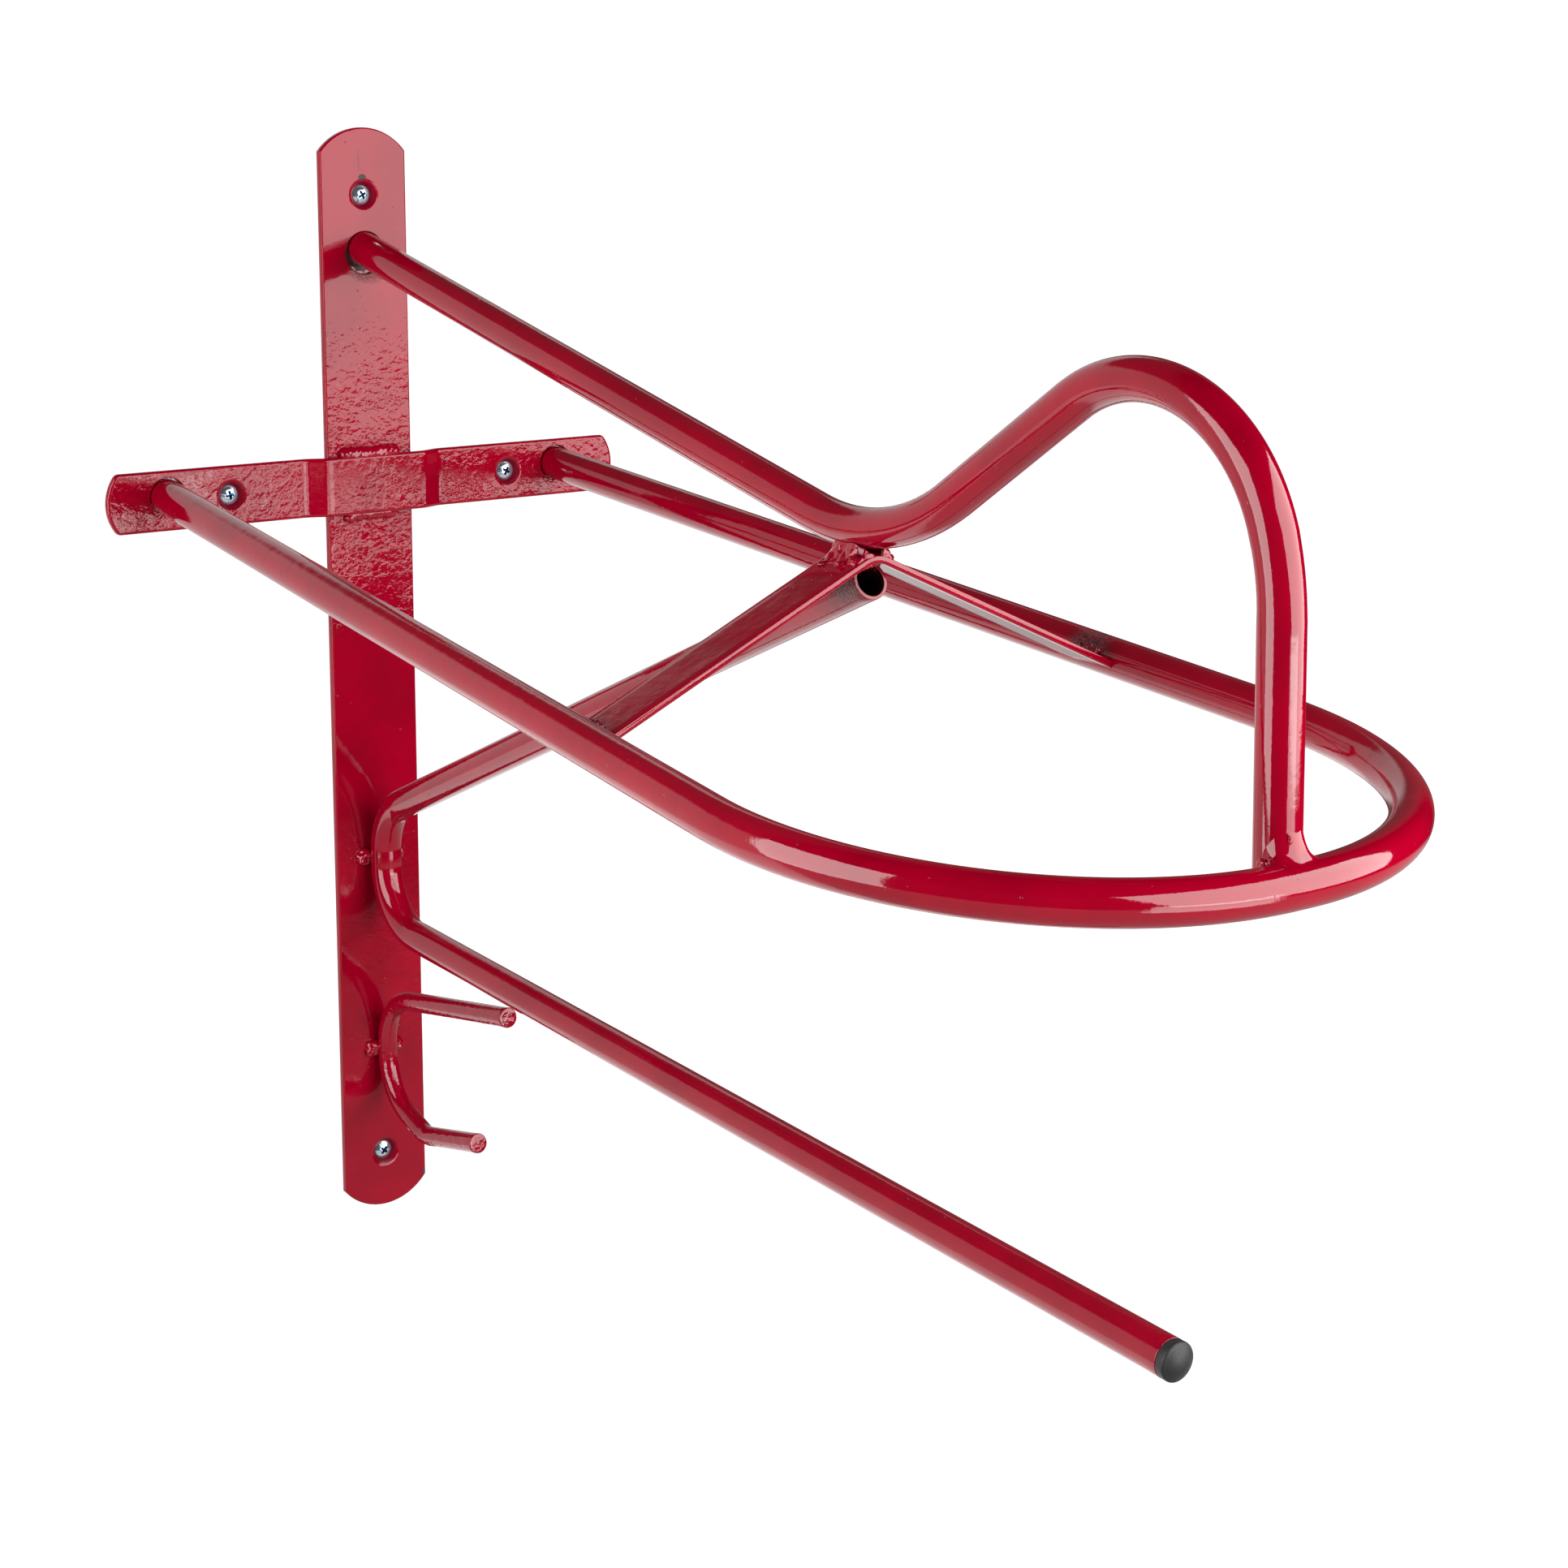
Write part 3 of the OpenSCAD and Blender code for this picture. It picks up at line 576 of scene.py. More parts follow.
def lathe(profile, seg, axis_at, axis):
    """Turns (distance along the axis, radius) points round an axis. Radius 0 closes an end."""
    axis = unit(axis)
    a = unit(np.cross((0, 0, 1), axis))
    b = np.cross(axis, a)
    verts, rows = [], []
    for d, r in profile:
        centre = np.array(axis_at, float) + axis * d
        start = len(verts)
        if r <= 1e-9:
            verts.append(centre)
        else:
            turns = np.linspace(0, 2 * math.pi, seg, endpoint=False)
            verts.extend(centre + r * (math.cos(t) * a + math.sin(t) * b) for t in turns)
        rows.append(list(range(start, len(verts))))
    return verts, ring_faces(rows)


# ---- tubes and rods
def route_line(route, out, up, heading, step=5.0, turn_step=2.5):
    """Samples a route: rows of out, up, heading in radians, and how far inside a bend."""
    h = math.radians(heading)
    rows = [(out, up, h, 0.0)]
    for run, turn, r in route:
        if run > 0:
            count = max(1, int(round(run / step)))
            for i in range(1, count + 1):
                d = run * i / count
                rows.append((out + d * math.cos(h), up + d * math.sin(h), h, 0.0))
            out, up = rows[-1][0], rows[-1][1]
        if turn:
            side, total = math.copysign(1, turn), math.radians(turn)
            count = max(2, int(round(abs(turn) / turn_step)))
            for i in range(1, count + 1):
                nh = h + total * i / count
                rows.append((
                    out + side * r * (math.sin(nh) - math.sin(h)),
                    up - side * r * (math.cos(nh) - math.cos(h)),
                    nh, side * math.sin(math.pi * i / count) ** 0.5,
                ))
            out, up, h = rows[-1][0], rows[-1][1], h + total
    return np.array(rows)


def in_plane(line, right, up, origin=(0, 0, 0)):
    """Puts a route's samples in a plane: where they are, the way along and the way inwards."""
    right, up = np.array(right, float), np.array(up, float)
    c, s = np.cos(line[:, 2:3]), np.sin(line[:, 2:3])
    at = np.array(origin) + line[:, 0:1] * right + line[:, 1:2] * up
    return at, c * right + s * up, c * up - s * right


def side_plane(line):
    """The plane X = 0, with distance from the wall as out."""
    return in_plane(line, (0, -1, 0), (0, 0, 1))


def hoop_plane(line):
    """The hoop's sloping plane, with X as out and distance from the wall as up."""
    return in_plane(line, (1, 0, 0), (0, -cosd(HOOP_FALL), -sind(HOOP_FALL)), (0, 0, HOOP_Z))


def rings(placed, bend, radius, seg, squash, seed):
    """Rings of points round a line. A bend is a little flat on its outer side."""
    at, along, inner = placed
    side = np.cross(along, inner)
    t = np.linspace(0, 2 * math.pi, seg, endpoint=False)
    wobble = np.array([noise_at(p, 0.02, (seed, 0, 0)) for p in at])
    r = radius * (1 - 0.003 * (1 + wobble))
    flat = squash * np.abs(bend)
    a = (r * (1 - flat))[:, None, None] * np.cos(t)[None, :, None] * inner[:, None, :]
    b = (r * (1 - 0.1 * flat))[:, None, None] * np.sin(t)[None, :, None] * side[:, None, :]
    return at[:, None, :] + a + b


def slide_to_wall(ring, along):
    """Slides a ring's points along the tube to the wall-side plane."""
    shift = (-END_GAP - ring[:, 1]) / along[1]
    return ring + shift[:, None] * along


def end_profile(kind, radius):
    """The end of a tube from its outside inwards, as (radius, distance past the end)."""
    arc = [math.radians(22.5 * k) for k in range(5)]
    if kind == "open":
        bore = radius - WALL
        rows = [(radius, -LIP)]
        rows += [(radius - LIP + LIP * math.cos(a), LIP * math.sin(a) - LIP) for a in arc[1:]]
        rows += [(bore + LIP - LIP * math.sin(a), LIP * math.cos(a) - LIP) for a in arc]
        rows += [(bore, -d) for d in (4.0, 15.0, 40.0, BORE_DEEP)]
        return rows + [(bore * 0.5, -BORE_DEEP)]
    if kind == "cut":
        core = radius - CHAMFER
        rows = [(radius, -CHAMFER)]
        rows += [(core + CHAMFER * math.cos(a), CHAMFER * math.sin(a) - CHAMFER) for a in arc[1:]]
        return rows + [(core * share, 0.0) for share in (0.7, 0.4)]
    return [(radius * 0.5, 0.0)]


def tube(name, placed, bend, radius, mat, replaced, seg=56, squash=0.03, seed=0.0,
         start="open", end="open", start_wall=False, end_wall=False):
    """A tube or rod along a line. Its ends are open with a wall thickness, cut and chamfered, or buried."""
    at, along, inner = placed
    side = np.cross(along, inner)
    t = np.linspace(0, 2 * math.pi, seg, endpoint=False)

    def closing(i, sign, kind, wall):
        """The rings of an end. Sign is 1 where the line runs out of it."""
        out = []
        for r, past in end_profile(kind, radius):
            d = sign * past
            ring = at[i] + along[i] * d + r * (np.cos(t)[:, None] * inner[i] + np.sin(t)[:, None] * side[i])
            if wall:
                ring = slide_to_wall(ring, along[i]) + along[i] * d
            out.append(ring)
        return out

    body = list(rings(placed, bend, radius, seg, squash, seed))
    # an open or cut end brings its own outer ring
    if start != "buried":
        body.pop(0)
    if end != "buried":
        body.pop()
    stack = closing(0, -1, start, start_wall)[::-1] + body + closing(len(at) - 1, 1, end, end_wall)
    add(name, np.array(stack).reshape(-1, 3), capped_faces(len(stack), seg), mat, "paint", replaced, angle=50)


line = route_line(RIDGE, 0.0, RIDGE_Z, -RIDGE_FALL)
tube("ridge_tube_paint", side_plane(line), line[:, 3], TUBE_R, tube_paint, ["ridge_tube"],
     seed=1.0, start_wall=True, end="buried")

# drawn with X along the wall, so it starts at the left end and turns right
front_half = HOOP_W / 2 + HOOP_PLAN * tand(HOOP_SPLAY)
corner = HOOP_R * tand((90 + HOOP_SPLAY) / 2)
arm = HOOP_PLAN / cosd(HOOP_SPLAY) - corner
hoop_turn = -(90 + HOOP_SPLAY)
hoop_route = [(arm, hoop_turn, HOOP_R), (2 * (front_half - corner), hoop_turn, HOOP_R), (arm, 0, 0)]
line = route_line(hoop_route, -HOOP_W / 2, 0.0, 90 + HOOP_SPLAY, turn_step=2.0)
tube("saddle_hoop_paint", hoop_plane(line), line[:, 3], TUBE_R, tube_paint, ["saddle_hoop"],
     seed=2.0, squash=0.02, start_wall=True, end_wall=True)

rail_route = [(RAIL_UP, 90 - RAIL_RISE, RAIL_BEND), (RAIL_BACK, 90 - RAIL_FALL, RAIL_BEND), (RAIL_LOW, 0, 0)]
line = route_line(rail_route, RAIL_TOP_Y, RAIL_TOP_Z, 180 + RAIL_RISE)
tube("blanket_rail_paint", side_plane(line), line[:, 3], RAIL_R, rail_paint, ["blanket_rail"],
     seed=3.0, squash=0.05)

hook_route = [(HOOK_UP, 90 - HOOK_RISE, HOOK_BEND), (HOOK_BACK, 90 - HOOK_FALL, HOOK_BEND),
              (HOOK_SLOPE, HOOK_FALL + HOOK_LIP, HOOK_LIP_R), (HOOK_ARM, 0, 0)]
line = route_line(hook_route, HOOK_TOP_Y, HOOK_TOP_Z, 180 + HOOK_RISE, step=4.0)
tube("bridle_hook_paint", side_plane(line), line[:, 3], ROD_R, rod_paint, ["bridle_hook"],
     seg=40, seed=4.0, start="cut", end="cut")


# ---- back plate
def drill(profile, x, z, thick):
    """A cutter whose profile starts at the front of a bar with its back at Y = 0."""
    return new_object("drill", *lathe(profile, 64, (x, -thick, z), (0, 1, 0)))


def sink_tool(x, z, thick):
    """Cuts a countersink with a rounded lip."""
    radius, lip = SINK_D / 2, 0.5
    profile = [(-2.0, 0), (-2.0, radius + 2.6), (0.0, radius + lip)]
    for k in range(1, 5):
        bite = math.sin(math.radians(11.25 * k))
        profile.append((lip * 0.7 * bite, radius + lip - lip * 1.05 * bite - 0.12 * k))
    profile += [(thick, radius - thick), (thick + 1.0, radius - thick), (thick + 1.0, 0)]
    return drill(profile, x, z, thick)


def hole_tool(x, z, radius, thick, lip):
    """Cuts a straight hole with a rounded lip."""
    profile = [(-3.0, 0), (-3.0, radius + 3.0), (-0.02, radius + lip)]
    for k in range(1, 6):
        profile.append((lip * (1 - cosd(18 * k)), radius + lip - lip * sind(18 * k)))
    profile += [(12.0, radius), (12.0, 0)]
    return drill(profile, x, z, thick)


def plate_solid():
    """The plate from its front outline, with all its edges rounded."""
    half = math.degrees(math.asin(PLATE_W / 2 / PLATE_END_R))
    r = PLATE_END_R - 0.08
    outline = []
    for centre, middle in ((PLATE_UP - PLATE_END_R, 90), (PLATE_END_R - PLATE_DOWN, 270)):
        for a in np.linspace(middle - half, middle + half, 28):
            outline.append((r * cosd(a), centre + r * sind(a)))
    verts = [(x * WIDTH_SHARE, -y, z) for y in (0.01, PLATE_T - 0.01) for x, z in outline]
    n = len(outline)
    faces = [list(range(n)), list(range(2 * n - 1, n - 1, -1))]
    faces += [(i, (i + 1) % n, n + (i + 1) % n, n + i) for i in range(n)]
    obj = new_object("back_plate_paint", verts, faces)
    bevel(obj, 0.75, 3)
    return obj


plate = plate_solid()
cut(plate, [sink_tool(x, z, PLATE_T) for x, z, _ in PLATE_SCREWS]
    + [hole_tool(0, RIDGE_HOLE_Z, RIDGE_HOLE_D / 2, PLATE_T, 0.6)])
dress(plate, plate_paint, ["back_plate"], angle=32)
flatten(plate)


# ---- cross bar and brace strap
def curve_at(t, start, corner, end):
    """A point on the curve that fillets a corner."""
    return (1 - t) ** 2 * start + 2 * t * (1 - t) * corner + t ** 2 * end


def normals_of(line):
    """The way square to a flat line at each of its points."""
    direction = np.gradient(line, axis=0)
    direction /= np.linalg.norm(direction, axis=1)[:, None]
    return np.stack([-direction[:, 1], direction[:, 0]], 1)


def slab(name, side_at, half, rows):
    """A bar joined from its two faces. side_at gives the points of a face at a distance from the middle."""
    front, back = side_at(rows, half), side_at(rows, -half)
    count = len(front)
    cols = count // rows
    faces = grid_faces(rows, cols, close=False)
    faces += [tuple(count + i for i in f[::-1]) for f in faces]
    edge = list(range(cols)) + [i * cols + cols - 1 for i in range(1, rows)]
    edge += [(rows - 1) * cols + j for j in range(cols - 2, -1, -1)]
    edge += [i * cols for i in range(rows - 2, 0, -1)]
    faces += [(p, q, count + q, count + p) for p, q in zip(edge, edge[1:] + edge[:1])]
    return new_object(name, front + back, faces)


def bar_line():
    """The middle line of the bar from above, as X and distance from the wall, with filleted bends."""
    near, far, foot = BAR_T / 2, BAR_T / 2 + PLATE_T, STEP_HALF + STEP_RUN
    corners = [(-BAR_L / 2, near), (-foot, near), (-STEP_HALF, far), (STEP_HALF, far), (foot, near),
               (BAR_L / 2, near)]
    fillet, middle = 2.2, []
    for i in range(1, 5):
        p, q, r = (np.array(c, float) for c in corners[i - 1:i + 2])
        for k in range(7):
            middle.append(tuple(curve_at(k / 6, q + unit(p - q) * fillet, q, q + unit(r - q) * fillet)))
    flat = [(x, near) for x in np.linspace(-BAR_L / 2, middle[0][0], 24)[:-1]]
    return np.array(flat + middle + [(-x, y) for x, y in flat[::-1]])


def bar_side(rows, t):
    """Points at the distance t in front of the bar's middle. Its ends are arcs."""
    line, points, straight = bar_line(), [], 60
    for v in np.linspace(-BAR_W / 2, BAR_W / 2, rows):
        inset = BAR_END_R - math.sqrt(BAR_END_R ** 2 - v * v)
        for (x, y), (nx, ny) in zip(line, normals_of(line)):
            share = max(0.0, (abs(x) - straight) / (BAR_L / 2 - straight))
            at = x - math.copysign(inset * share ** 2, x)
            points.append((at + BAR_SHIFT + nx * t, -(y + ny * t), v * WIDTH_SHARE))
    return points


bar = slab("cross_bar_paint", bar_side, BAR_T / 2 - 0.015, 15)
bevel(bar, 1.5, 5)
cut(bar, [sink_tool(x, z, BAR_T) for x, z, _ in BAR_SCREWS]
    + [hole_tool(side * HOOP_W / 2, HOOP_Z, HOOP_HOLE_R, BAR_T, 0.4) for side in (-1, 1)])
dress(bar, bar_paint, ["cross_bar"], angle=32)
flatten(bar)


def strap_line():
    """Front view of the strap's middle, from the left arm over the apex to the right arm."""
    top, crown = STRAP_TOP - STRAP_T / 2 / cosd(STRAP_SLOPE), 5.0
    left = [(x, top - abs(x) * tand(STRAP_SLOPE)) for x in np.linspace(6.2 - ARM_X, -crown, 40)]
    foot = top - crown * tand(STRAP_SLOPE)
    shares = [k / 8 for k in range(1, 8)]
    middle = [(curve_at(t, -crown, 0, crown), curve_at(t, foot, top - 0.1, foot)) for t in shares]
    return np.array(left + middle + [(-x, z) for x, z in left[::-1]])


def strap_side(rows, t):
    """Points at the distance t above the strap's middle."""
    line = strap_line()
    return [(x + nx * t, -STRAP_Y + w, z + nz * t) for w in np.linspace(-STRAP_W / 2, STRAP_W / 2, rows)
            for (x, z), (nx, nz) in zip(line, normals_of(line))]


strap = slab("brace_strap_paint", strap_side, STRAP_T / 2 - SKIN, 7)
bevel(strap, 0.6, 3)
dress(strap, strap_paint, ["brace_strap"], angle=35)


# ---- end cap
def cap_profile():
    """The plug inside the rail, the rim with its rounded edges and the low dome."""
    rim, small, large, edge = 7.45, 0.3, 1.25, CAP_RIM - 1.1
    profile = [(-13.8, 0), (-13.8, 4.6), (-13.6, 5.0), (-11.0, 5.75), (-0.3, 5.9), (0.02, 5.95)]
    profile.append((0.04, rim - 0.35))
    for a in (30, 60, 90):
        profile.append((0.04 + small * (1 - cosd(a)), rim - 0.35 + small * sind(a)))
    profile.append((edge, rim))
    for a in range(12, 73, 12):
        profile.append((edge + large * sind(a), rim - large * (1 - cosd(a))))
    foot, radius = profile[-1]
    rise = CAP_RIM + CAP_DOME - 0.05 - foot
    for k in range(1, 9):
        share = 1 - k / 8
        profile.append((foot + rise * (1 - share ** 2), radius * share))
    return profile


cap = lathe(cap_profile(), 64, (0, -RAIL_END_Y, RAIL_END_Z), (0, -cosd(RAIL_FALL), -sind(RAIL_FALL)))
add("rail_end_cap_moulded", *cap, cap_plastic, "cap", ["rail_end_cap"], angle=60)


# ---- welds
class Lump:
    """Collects the beads and droplets of one piece."""

    def __init__(self):
        self.verts, self.faces = [], []

    def take(self, verts, faces):
        start = len(self.verts)
        self.verts.extend(map(tuple, verts))
        self.faces.extend(tuple(start + i for i in f) for f in faces)

    def bead(self, path, r, flat=0.9, face=(0, -1, 0), ripple=0.10, pitch=2.0, rough=0.10, seed=0.0):
        """A weld bead along a path, flattened along the direction face, with crescent ripples."""
        seg, step = 28, 0.3
        s_at = np.concatenate([[0], np.cumsum(np.linalg.norm(np.diff(path, axis=0), axis=1))])
        total = s_at[-1]
        count = max(8, int(total / step))
        s_row = np.linspace(0, total, count)
        at = np.stack([np.interp(s_row, s_at, path[:, k]) for k in range(3)], 1)
        along = np.gradient(at, axis=0)
        along /= np.linalg.norm(along, axis=1)[:, None]
        face = unit(face)
        verts = []
        for p, t, s in zip(at, along, s_row):
            u = unit(face - t * (face @ t))
            v = np.cross(t, u)
            end = min(s, total - s)
            cap = math.sqrt(max(0.0, 1 - (1 - min(1.0, end / (0.9 * r))) ** 2))
            drift = 1.3 * noise_at((s * 0.35, seed, 0))
            for j in range(seg):
                q = 2 * math.pi * j / seg
                out = flat * math.cos(q) * u + math.sin(q) * v
                lag = 0.9 * abs(math.sin(q)) ** 1.5
                wave = math.cos(2 * math.pi * (s / pitch + lag) + drift)
                p0 = p + r * out
                lump = noise_at(p0, 1.1 / max(r, 1), (seed, 0, 0))
                fine = noise_at(p0, 1.6, (0, seed, 0))
                k = r * cap * (1 + ripple * 0.5 * wave + rough * 1.6 * lump + rough * 0.5 * fine)
                verts.append(p + k * out)
        self.take(verts, capped_faces(count, seg))

    def blob(self, at, size, seed=0.0, rough=0.18, rows=12, seg=20):
        """A droplet or a nugget: a noisy ball."""
        verts, numbers = [], []
        for i in range(rows + 1):
            a = math.pi * i / rows
            if i in (0, rows):
                ring = [(0, 0, math.cos(a))]
            else:
                turns = [360 * j / seg for j in range(seg)]
                ring = [(math.sin(a) * cosd(t), math.sin(a) * sind(t), math.cos(a)) for t in turns]
            numbers.append(list(range(len(verts), len(verts) + len(ring))))
            for d in ring:
                w = 1 + rough * noise_at(d, 1.4, (seed, seed * 0.3, 0))
                verts.append(np.asarray(at, float) + np.asarray(size, float) * np.array(d) * w)
        self.take(verts, ring_faces(numbers))

    def droplet(self, at, size, seed, rough):
        self.blob(at, size, seed, rough, rows=6, seg=10)

    def spatter(self, centre, spread, count, seed, sizes):
        """Droplets thrown round a weld, stuck on the front of the plate."""
        rng = np.random.default_rng(seed)
        for k in range(count):
            at = np.asarray(centre, float) + rng.normal(0, 1, 3) * np.asarray(spread, float)
            at[1] = -PLATE_T
            r = rng.uniform(*sizes)
            self.droplet(at, (r, r * 0.8, r), float(k + seed), 0.25)

    def melt(self, voxel, turns):
        """Fuses everything so far into one smooth mass, as if it had run together."""
        mass = new_object("mass", self.verts, self.faces)
        fuse = mass.modifiers.new("fuse", "REMESH")
        fuse.mode, fuse.voxel_size = "VOXEL", voxel * MM
        soften = mass.modifiers.new("soften", "SMOOTH")
        soften.factor, soften.iterations = 0.5, turns
        apply_all(mass)
        self.verts = [tuple(np.array(v.co) / MM) for v in mass.data.vertices]
        self.faces = [tuple(p.vertices) for p in mass.data.polygons]
        bpy.data.objects.remove(mass)

    def sheet(self, rows, count, bulge, rough, seed):
        """A concave fillet. Each row holds its top, corner and foot points and the way out of the corner."""
        verts = []
        for top, corner, foot, way in rows:
            push = corner + (top - corner) * 0.10 + (foot - corner) * 0.16
            for k in range(count):
                t = k / (count - 1)
                p = curve_at(t, top, push, foot)
                lump = noise_at(p, 0.30, (seed, 0, 0)) + 0.4 * noise_at(p, 0.75, (0, seed, 0))
                verts.append(p + way * math.sin(math.pi * t) * (bulge + rough * lump))
            verts += [foot - way * 1.3, corner - way * 2.0, top - way * 1.3]
        self.take(verts, capped_faces(len(rows), count + 3))

    def make(self, name, replaced, mat):
        add(name, self.verts, self.faces, mat, "paint", [replaced], angle=70)


def wavy(p0, p1, count, amount, seed):
    """A line from p0 to p1 that wanders by the amounts along X, Y and Z."""
    p0, p1 = np.asarray(p0, float), np.asarray(p1, float)
    pts = p0 + (p1 - p0) * np.linspace(0, 1, count)[:, None]
    for i in range(count):
        for k in range(3):
            pts[i, k] += amount[k] * noise_at((i * 0.55, seed, k * 3.1))
    return pts


# between the plate and the cross bar
weld = Lump()
weld.bead(wavy((-16.6, -4.7, 15.0), (15.4, -4.7, 15.2), 24, (0, 0.3, 0.35), 1.0), 3.5,
          flat=0.85, face=(0, -0.7, 0.7), ripple=0.05, pitch=2.6, rough=0.08, seed=1.0)
weld.blob((-12.6, -5.2, 15.6), (3.0, 2.8, 2.7), seed=2.2)
weld.blob((9.4, -5.4, 15.4), (3.2, 3.0, 2.6), seed=4.0)
weld.melt(0.28, 4)
weld.spatter((2, -4, 20.6), (9, 0, 1.1), 20, 5, sizes=(0.25, 0.6))
weld.blob((11.0, -4.0, 23.6), (1.2, 0.9, 1.2), seed=3.0)
weld.blob((-1.5, -4.0, 22.2), (0.8, 0.6, 0.8), seed=5.0)
weld.make("bar_top_weld_bead", "bar_top_weld", bead_paint)

weld = Lump()
weld.bead(wavy((-14.0, -4.6, -14.6), (13.6, -4.6, -14.7), 20, (0, 0.3, 0.4), 3.0), 2.8,
          flat=0.85, face=(0, -0.7, -0.7), ripple=0.08, pitch=2.4, rough=0.12, seed=3.0)
weld.blob((-11.8, -5.0, -15.6), (2.9, 2.4, 2.4), seed=6.0)
weld.melt(0.28, 4)
weld.spatter((0, -4, -19.5), (9, 0, 1.6), 12, 8, sizes=(0.2, 0.5))
weld.make("bar_bottom_weld_bead", "bar_bottom_weld", bead_paint)


# between the ridge tube and the strap
def on_strap(x, y, up):
    """A point at the height up over the strap's top face."""
    return (x, -STRAP_Y + y, STRAP_TOP - abs(x) * tand(STRAP_SLOPE) + up)


def ridge_fillet(side):
    """The rows of the fillet from the tube's flank to the strap's face."""
    rows, length, flank = [], 20.4, TUBE_R - 0.05
    for i in range(49):
        t = i / 48
        fade = min(1.0, 4.5 * min(t, 1 - t)) ** 0.6
        y = -STRAP_Y + length * (0.5 - t)
        wide = 6.2 + 2.6 * noise_at((t * 4.1, 5.0 + side, 0))
        wide = (wide + 1.1 * noise_at((t * 11, side, 2))) * (0.35 + 0.65 * fade)
        turn = 32 + (20 + 7 * noise_at((t * 5, 0, 3.0 + side))) * fade
        top = np.array([side * flank * sind(turn), y, DIP_Z - flank * cosd(turn)])
        corner = np.array([side * 4.4, y, STRAP_TOP - 4.4 * tand(STRAP_SLOPE) + 0.2])
        down = np.array([side * cosd(STRAP_SLOPE), 0, -sind(STRAP_SLOPE)])
        foot = corner + (wide + 2.0) * down - np.array([0, 0, 0.15])
        rows.append((top, corner, foot, unit((side * 0.62, 0, 0.55))))
    return rows


weld = Lump()
for side in (-1, 1):
    weld.sheet(ridge_fillet(side), 15, bulge=0.6, rough=0.9, seed=6.0 + side)
    weld.blob(on_strap(side * 10.6, -3.0, 0.3), (2.6, 2.2, 1.5), seed=9.0 + side, rough=0.3)
    weld.blob(on_strap(side * 8.2, -7.4, 0.6), (2.0, 2.0, 1.5), seed=10.0 + side, rough=0.3)
    weld.blob(on_strap(side * 12.0, 6.5, 0.1), (2.4, 1.9, 1.1), seed=11.0 + side, rough=0.3)
weld.blob((-3.0, -STRAP_Y - 9.8, STRAP_TOP - 1.6), (3.2, 1.2, 1.5), seed=20.0, rough=0.3)
weld.melt(0.3, 7)
rng = np.random.default_rng(11)
for k in range(9):
    x = -rng.uniform(13, 24)
    r = rng.uniform(0.2, 0.5)
    weld.droplet(on_strap(x, rng.uniform(-10, 10), 0), (r, r, r), 30.0 + k, 0.18)
weld.make("ridge_strap_weld_bead", "ridge_strap_weld", strap_weld_paint)

# at the ends of the strap: a bead with nuggets at (Y, height, radius)
NUGGETS = ((8.4, 1.6, 1.3), (5.0, 2.3, 1.2), (1.8, 1.9, 1.1),
           (-3.0, 0.9, 1.2), (-4.6, 2.2, 0.55), (7.0, 3.6, 0.6))
for side, name in ((-1, "strap_left_weld"), (1, "strap_right_weld")):
    weld = Lump()
    x = side * (ARM_X - 9.0)
    z = ARM_Z - STRAP_DROP + 9.0 * tand(STRAP_SLOPE) + 0.9
    path = wavy((x - side * 0.5, -STRAP_Y + 10.0, z), (x + side * 0.2, -STRAP_Y - 3.5, z), 14,
                (0.8, 0, 0.6), 8.0 + side)
    weld.bead(path, 2.3, face=(-side * 0.6, 0, 0.8), ripple=0.30, rough=0.35, seed=12.0 + side)
    for k, (y, up, r) in enumerate(NUGGETS):
        weld.blob((x + side * (0.8 + 0.5 * up), -STRAP_Y + y, z + up), (r, r, r * 0.9),
                  seed=14.0 + k + side, rough=0.55)
    weld.make(name + "_bead", name, burnt_paint)


# between the strap and the rail's open end
def under_strap(x, y, down):
    return (x, -RAIL_TOP_Y + y, STRAP_UNDER - down)


weld = Lump()
for side in (-1, 1):
    path = wavy(under_strap(side * 5.2, 14.0, 3.6), under_strap(side * 5.0, 2.0, 2.9), 10,
                (0.4, 0, 0.4), 15.0 + side)
    weld.bead(path, 2.1, face=(side * 0.8, 0, 0.3), ripple=0.2, rough=0.25, seed=16.0 + side)
path = wavy(under_strap(-5.6, -0.6, 2.6), under_strap(3.4, -0.8, 0.6), 10, (0, 0.3, 0.2), 17.0)
weld.bead(path, 1.35, pitch=2.2, rough=0.15, seed=18.0)
weld.make("rail_strap_weld_bead", "rail_strap_weld", weld_paint)

# the nuggets that hold the rail and the hook
for name, z, r in (("rail_plate_weld", RAIL_BACK_Z, RAIL_D / 2), ("hook_plate_weld", HOOK_BACK_Z, ROD_D / 2)):
    weld = Lump()
    for side in (-1, 1):
        x = side * (r + 0.9)
        weld.blob((x, -4.6, z), (4.4, 3.5, 4.0), 21.0 + side + r, 0.30, rows=20, seg=32)
        weld.blob((x + side * 1.9, -5.2, z - 1.6), (2.5, 2.3, 2.3), 23.0 + side + r, 0.30, rows=14, seg=24)
        weld.blob((x - side * 1.2, -6.2, z + 1.5), (2.4, 2.8, 2.2), 25.0 + side + r, 0.30, rows=14, seg=24)
    weld.melt(0.3, 8)
    for side in (-1, 1):
        x = side * (r + 4.4)
        weld.spatter((x, -4, z + 4), (3.2, 0, 5.5), 12, int(r) + 4 + side, sizes=(0.18, 0.5))
    weld.make(name + "_nuggets", name, weld_paint)


# the flared foot of the arch
def leg_point(phi, z, r):
    """A point at the turn phi round the leg, at the height z and the distance r from its middle."""
    y = -LEG_FOOT_Y - (FRONT_Z - z) * tand(LEG_LEAN)
    return np.array([r * cosd(phi), y + r * sind(phi), z])


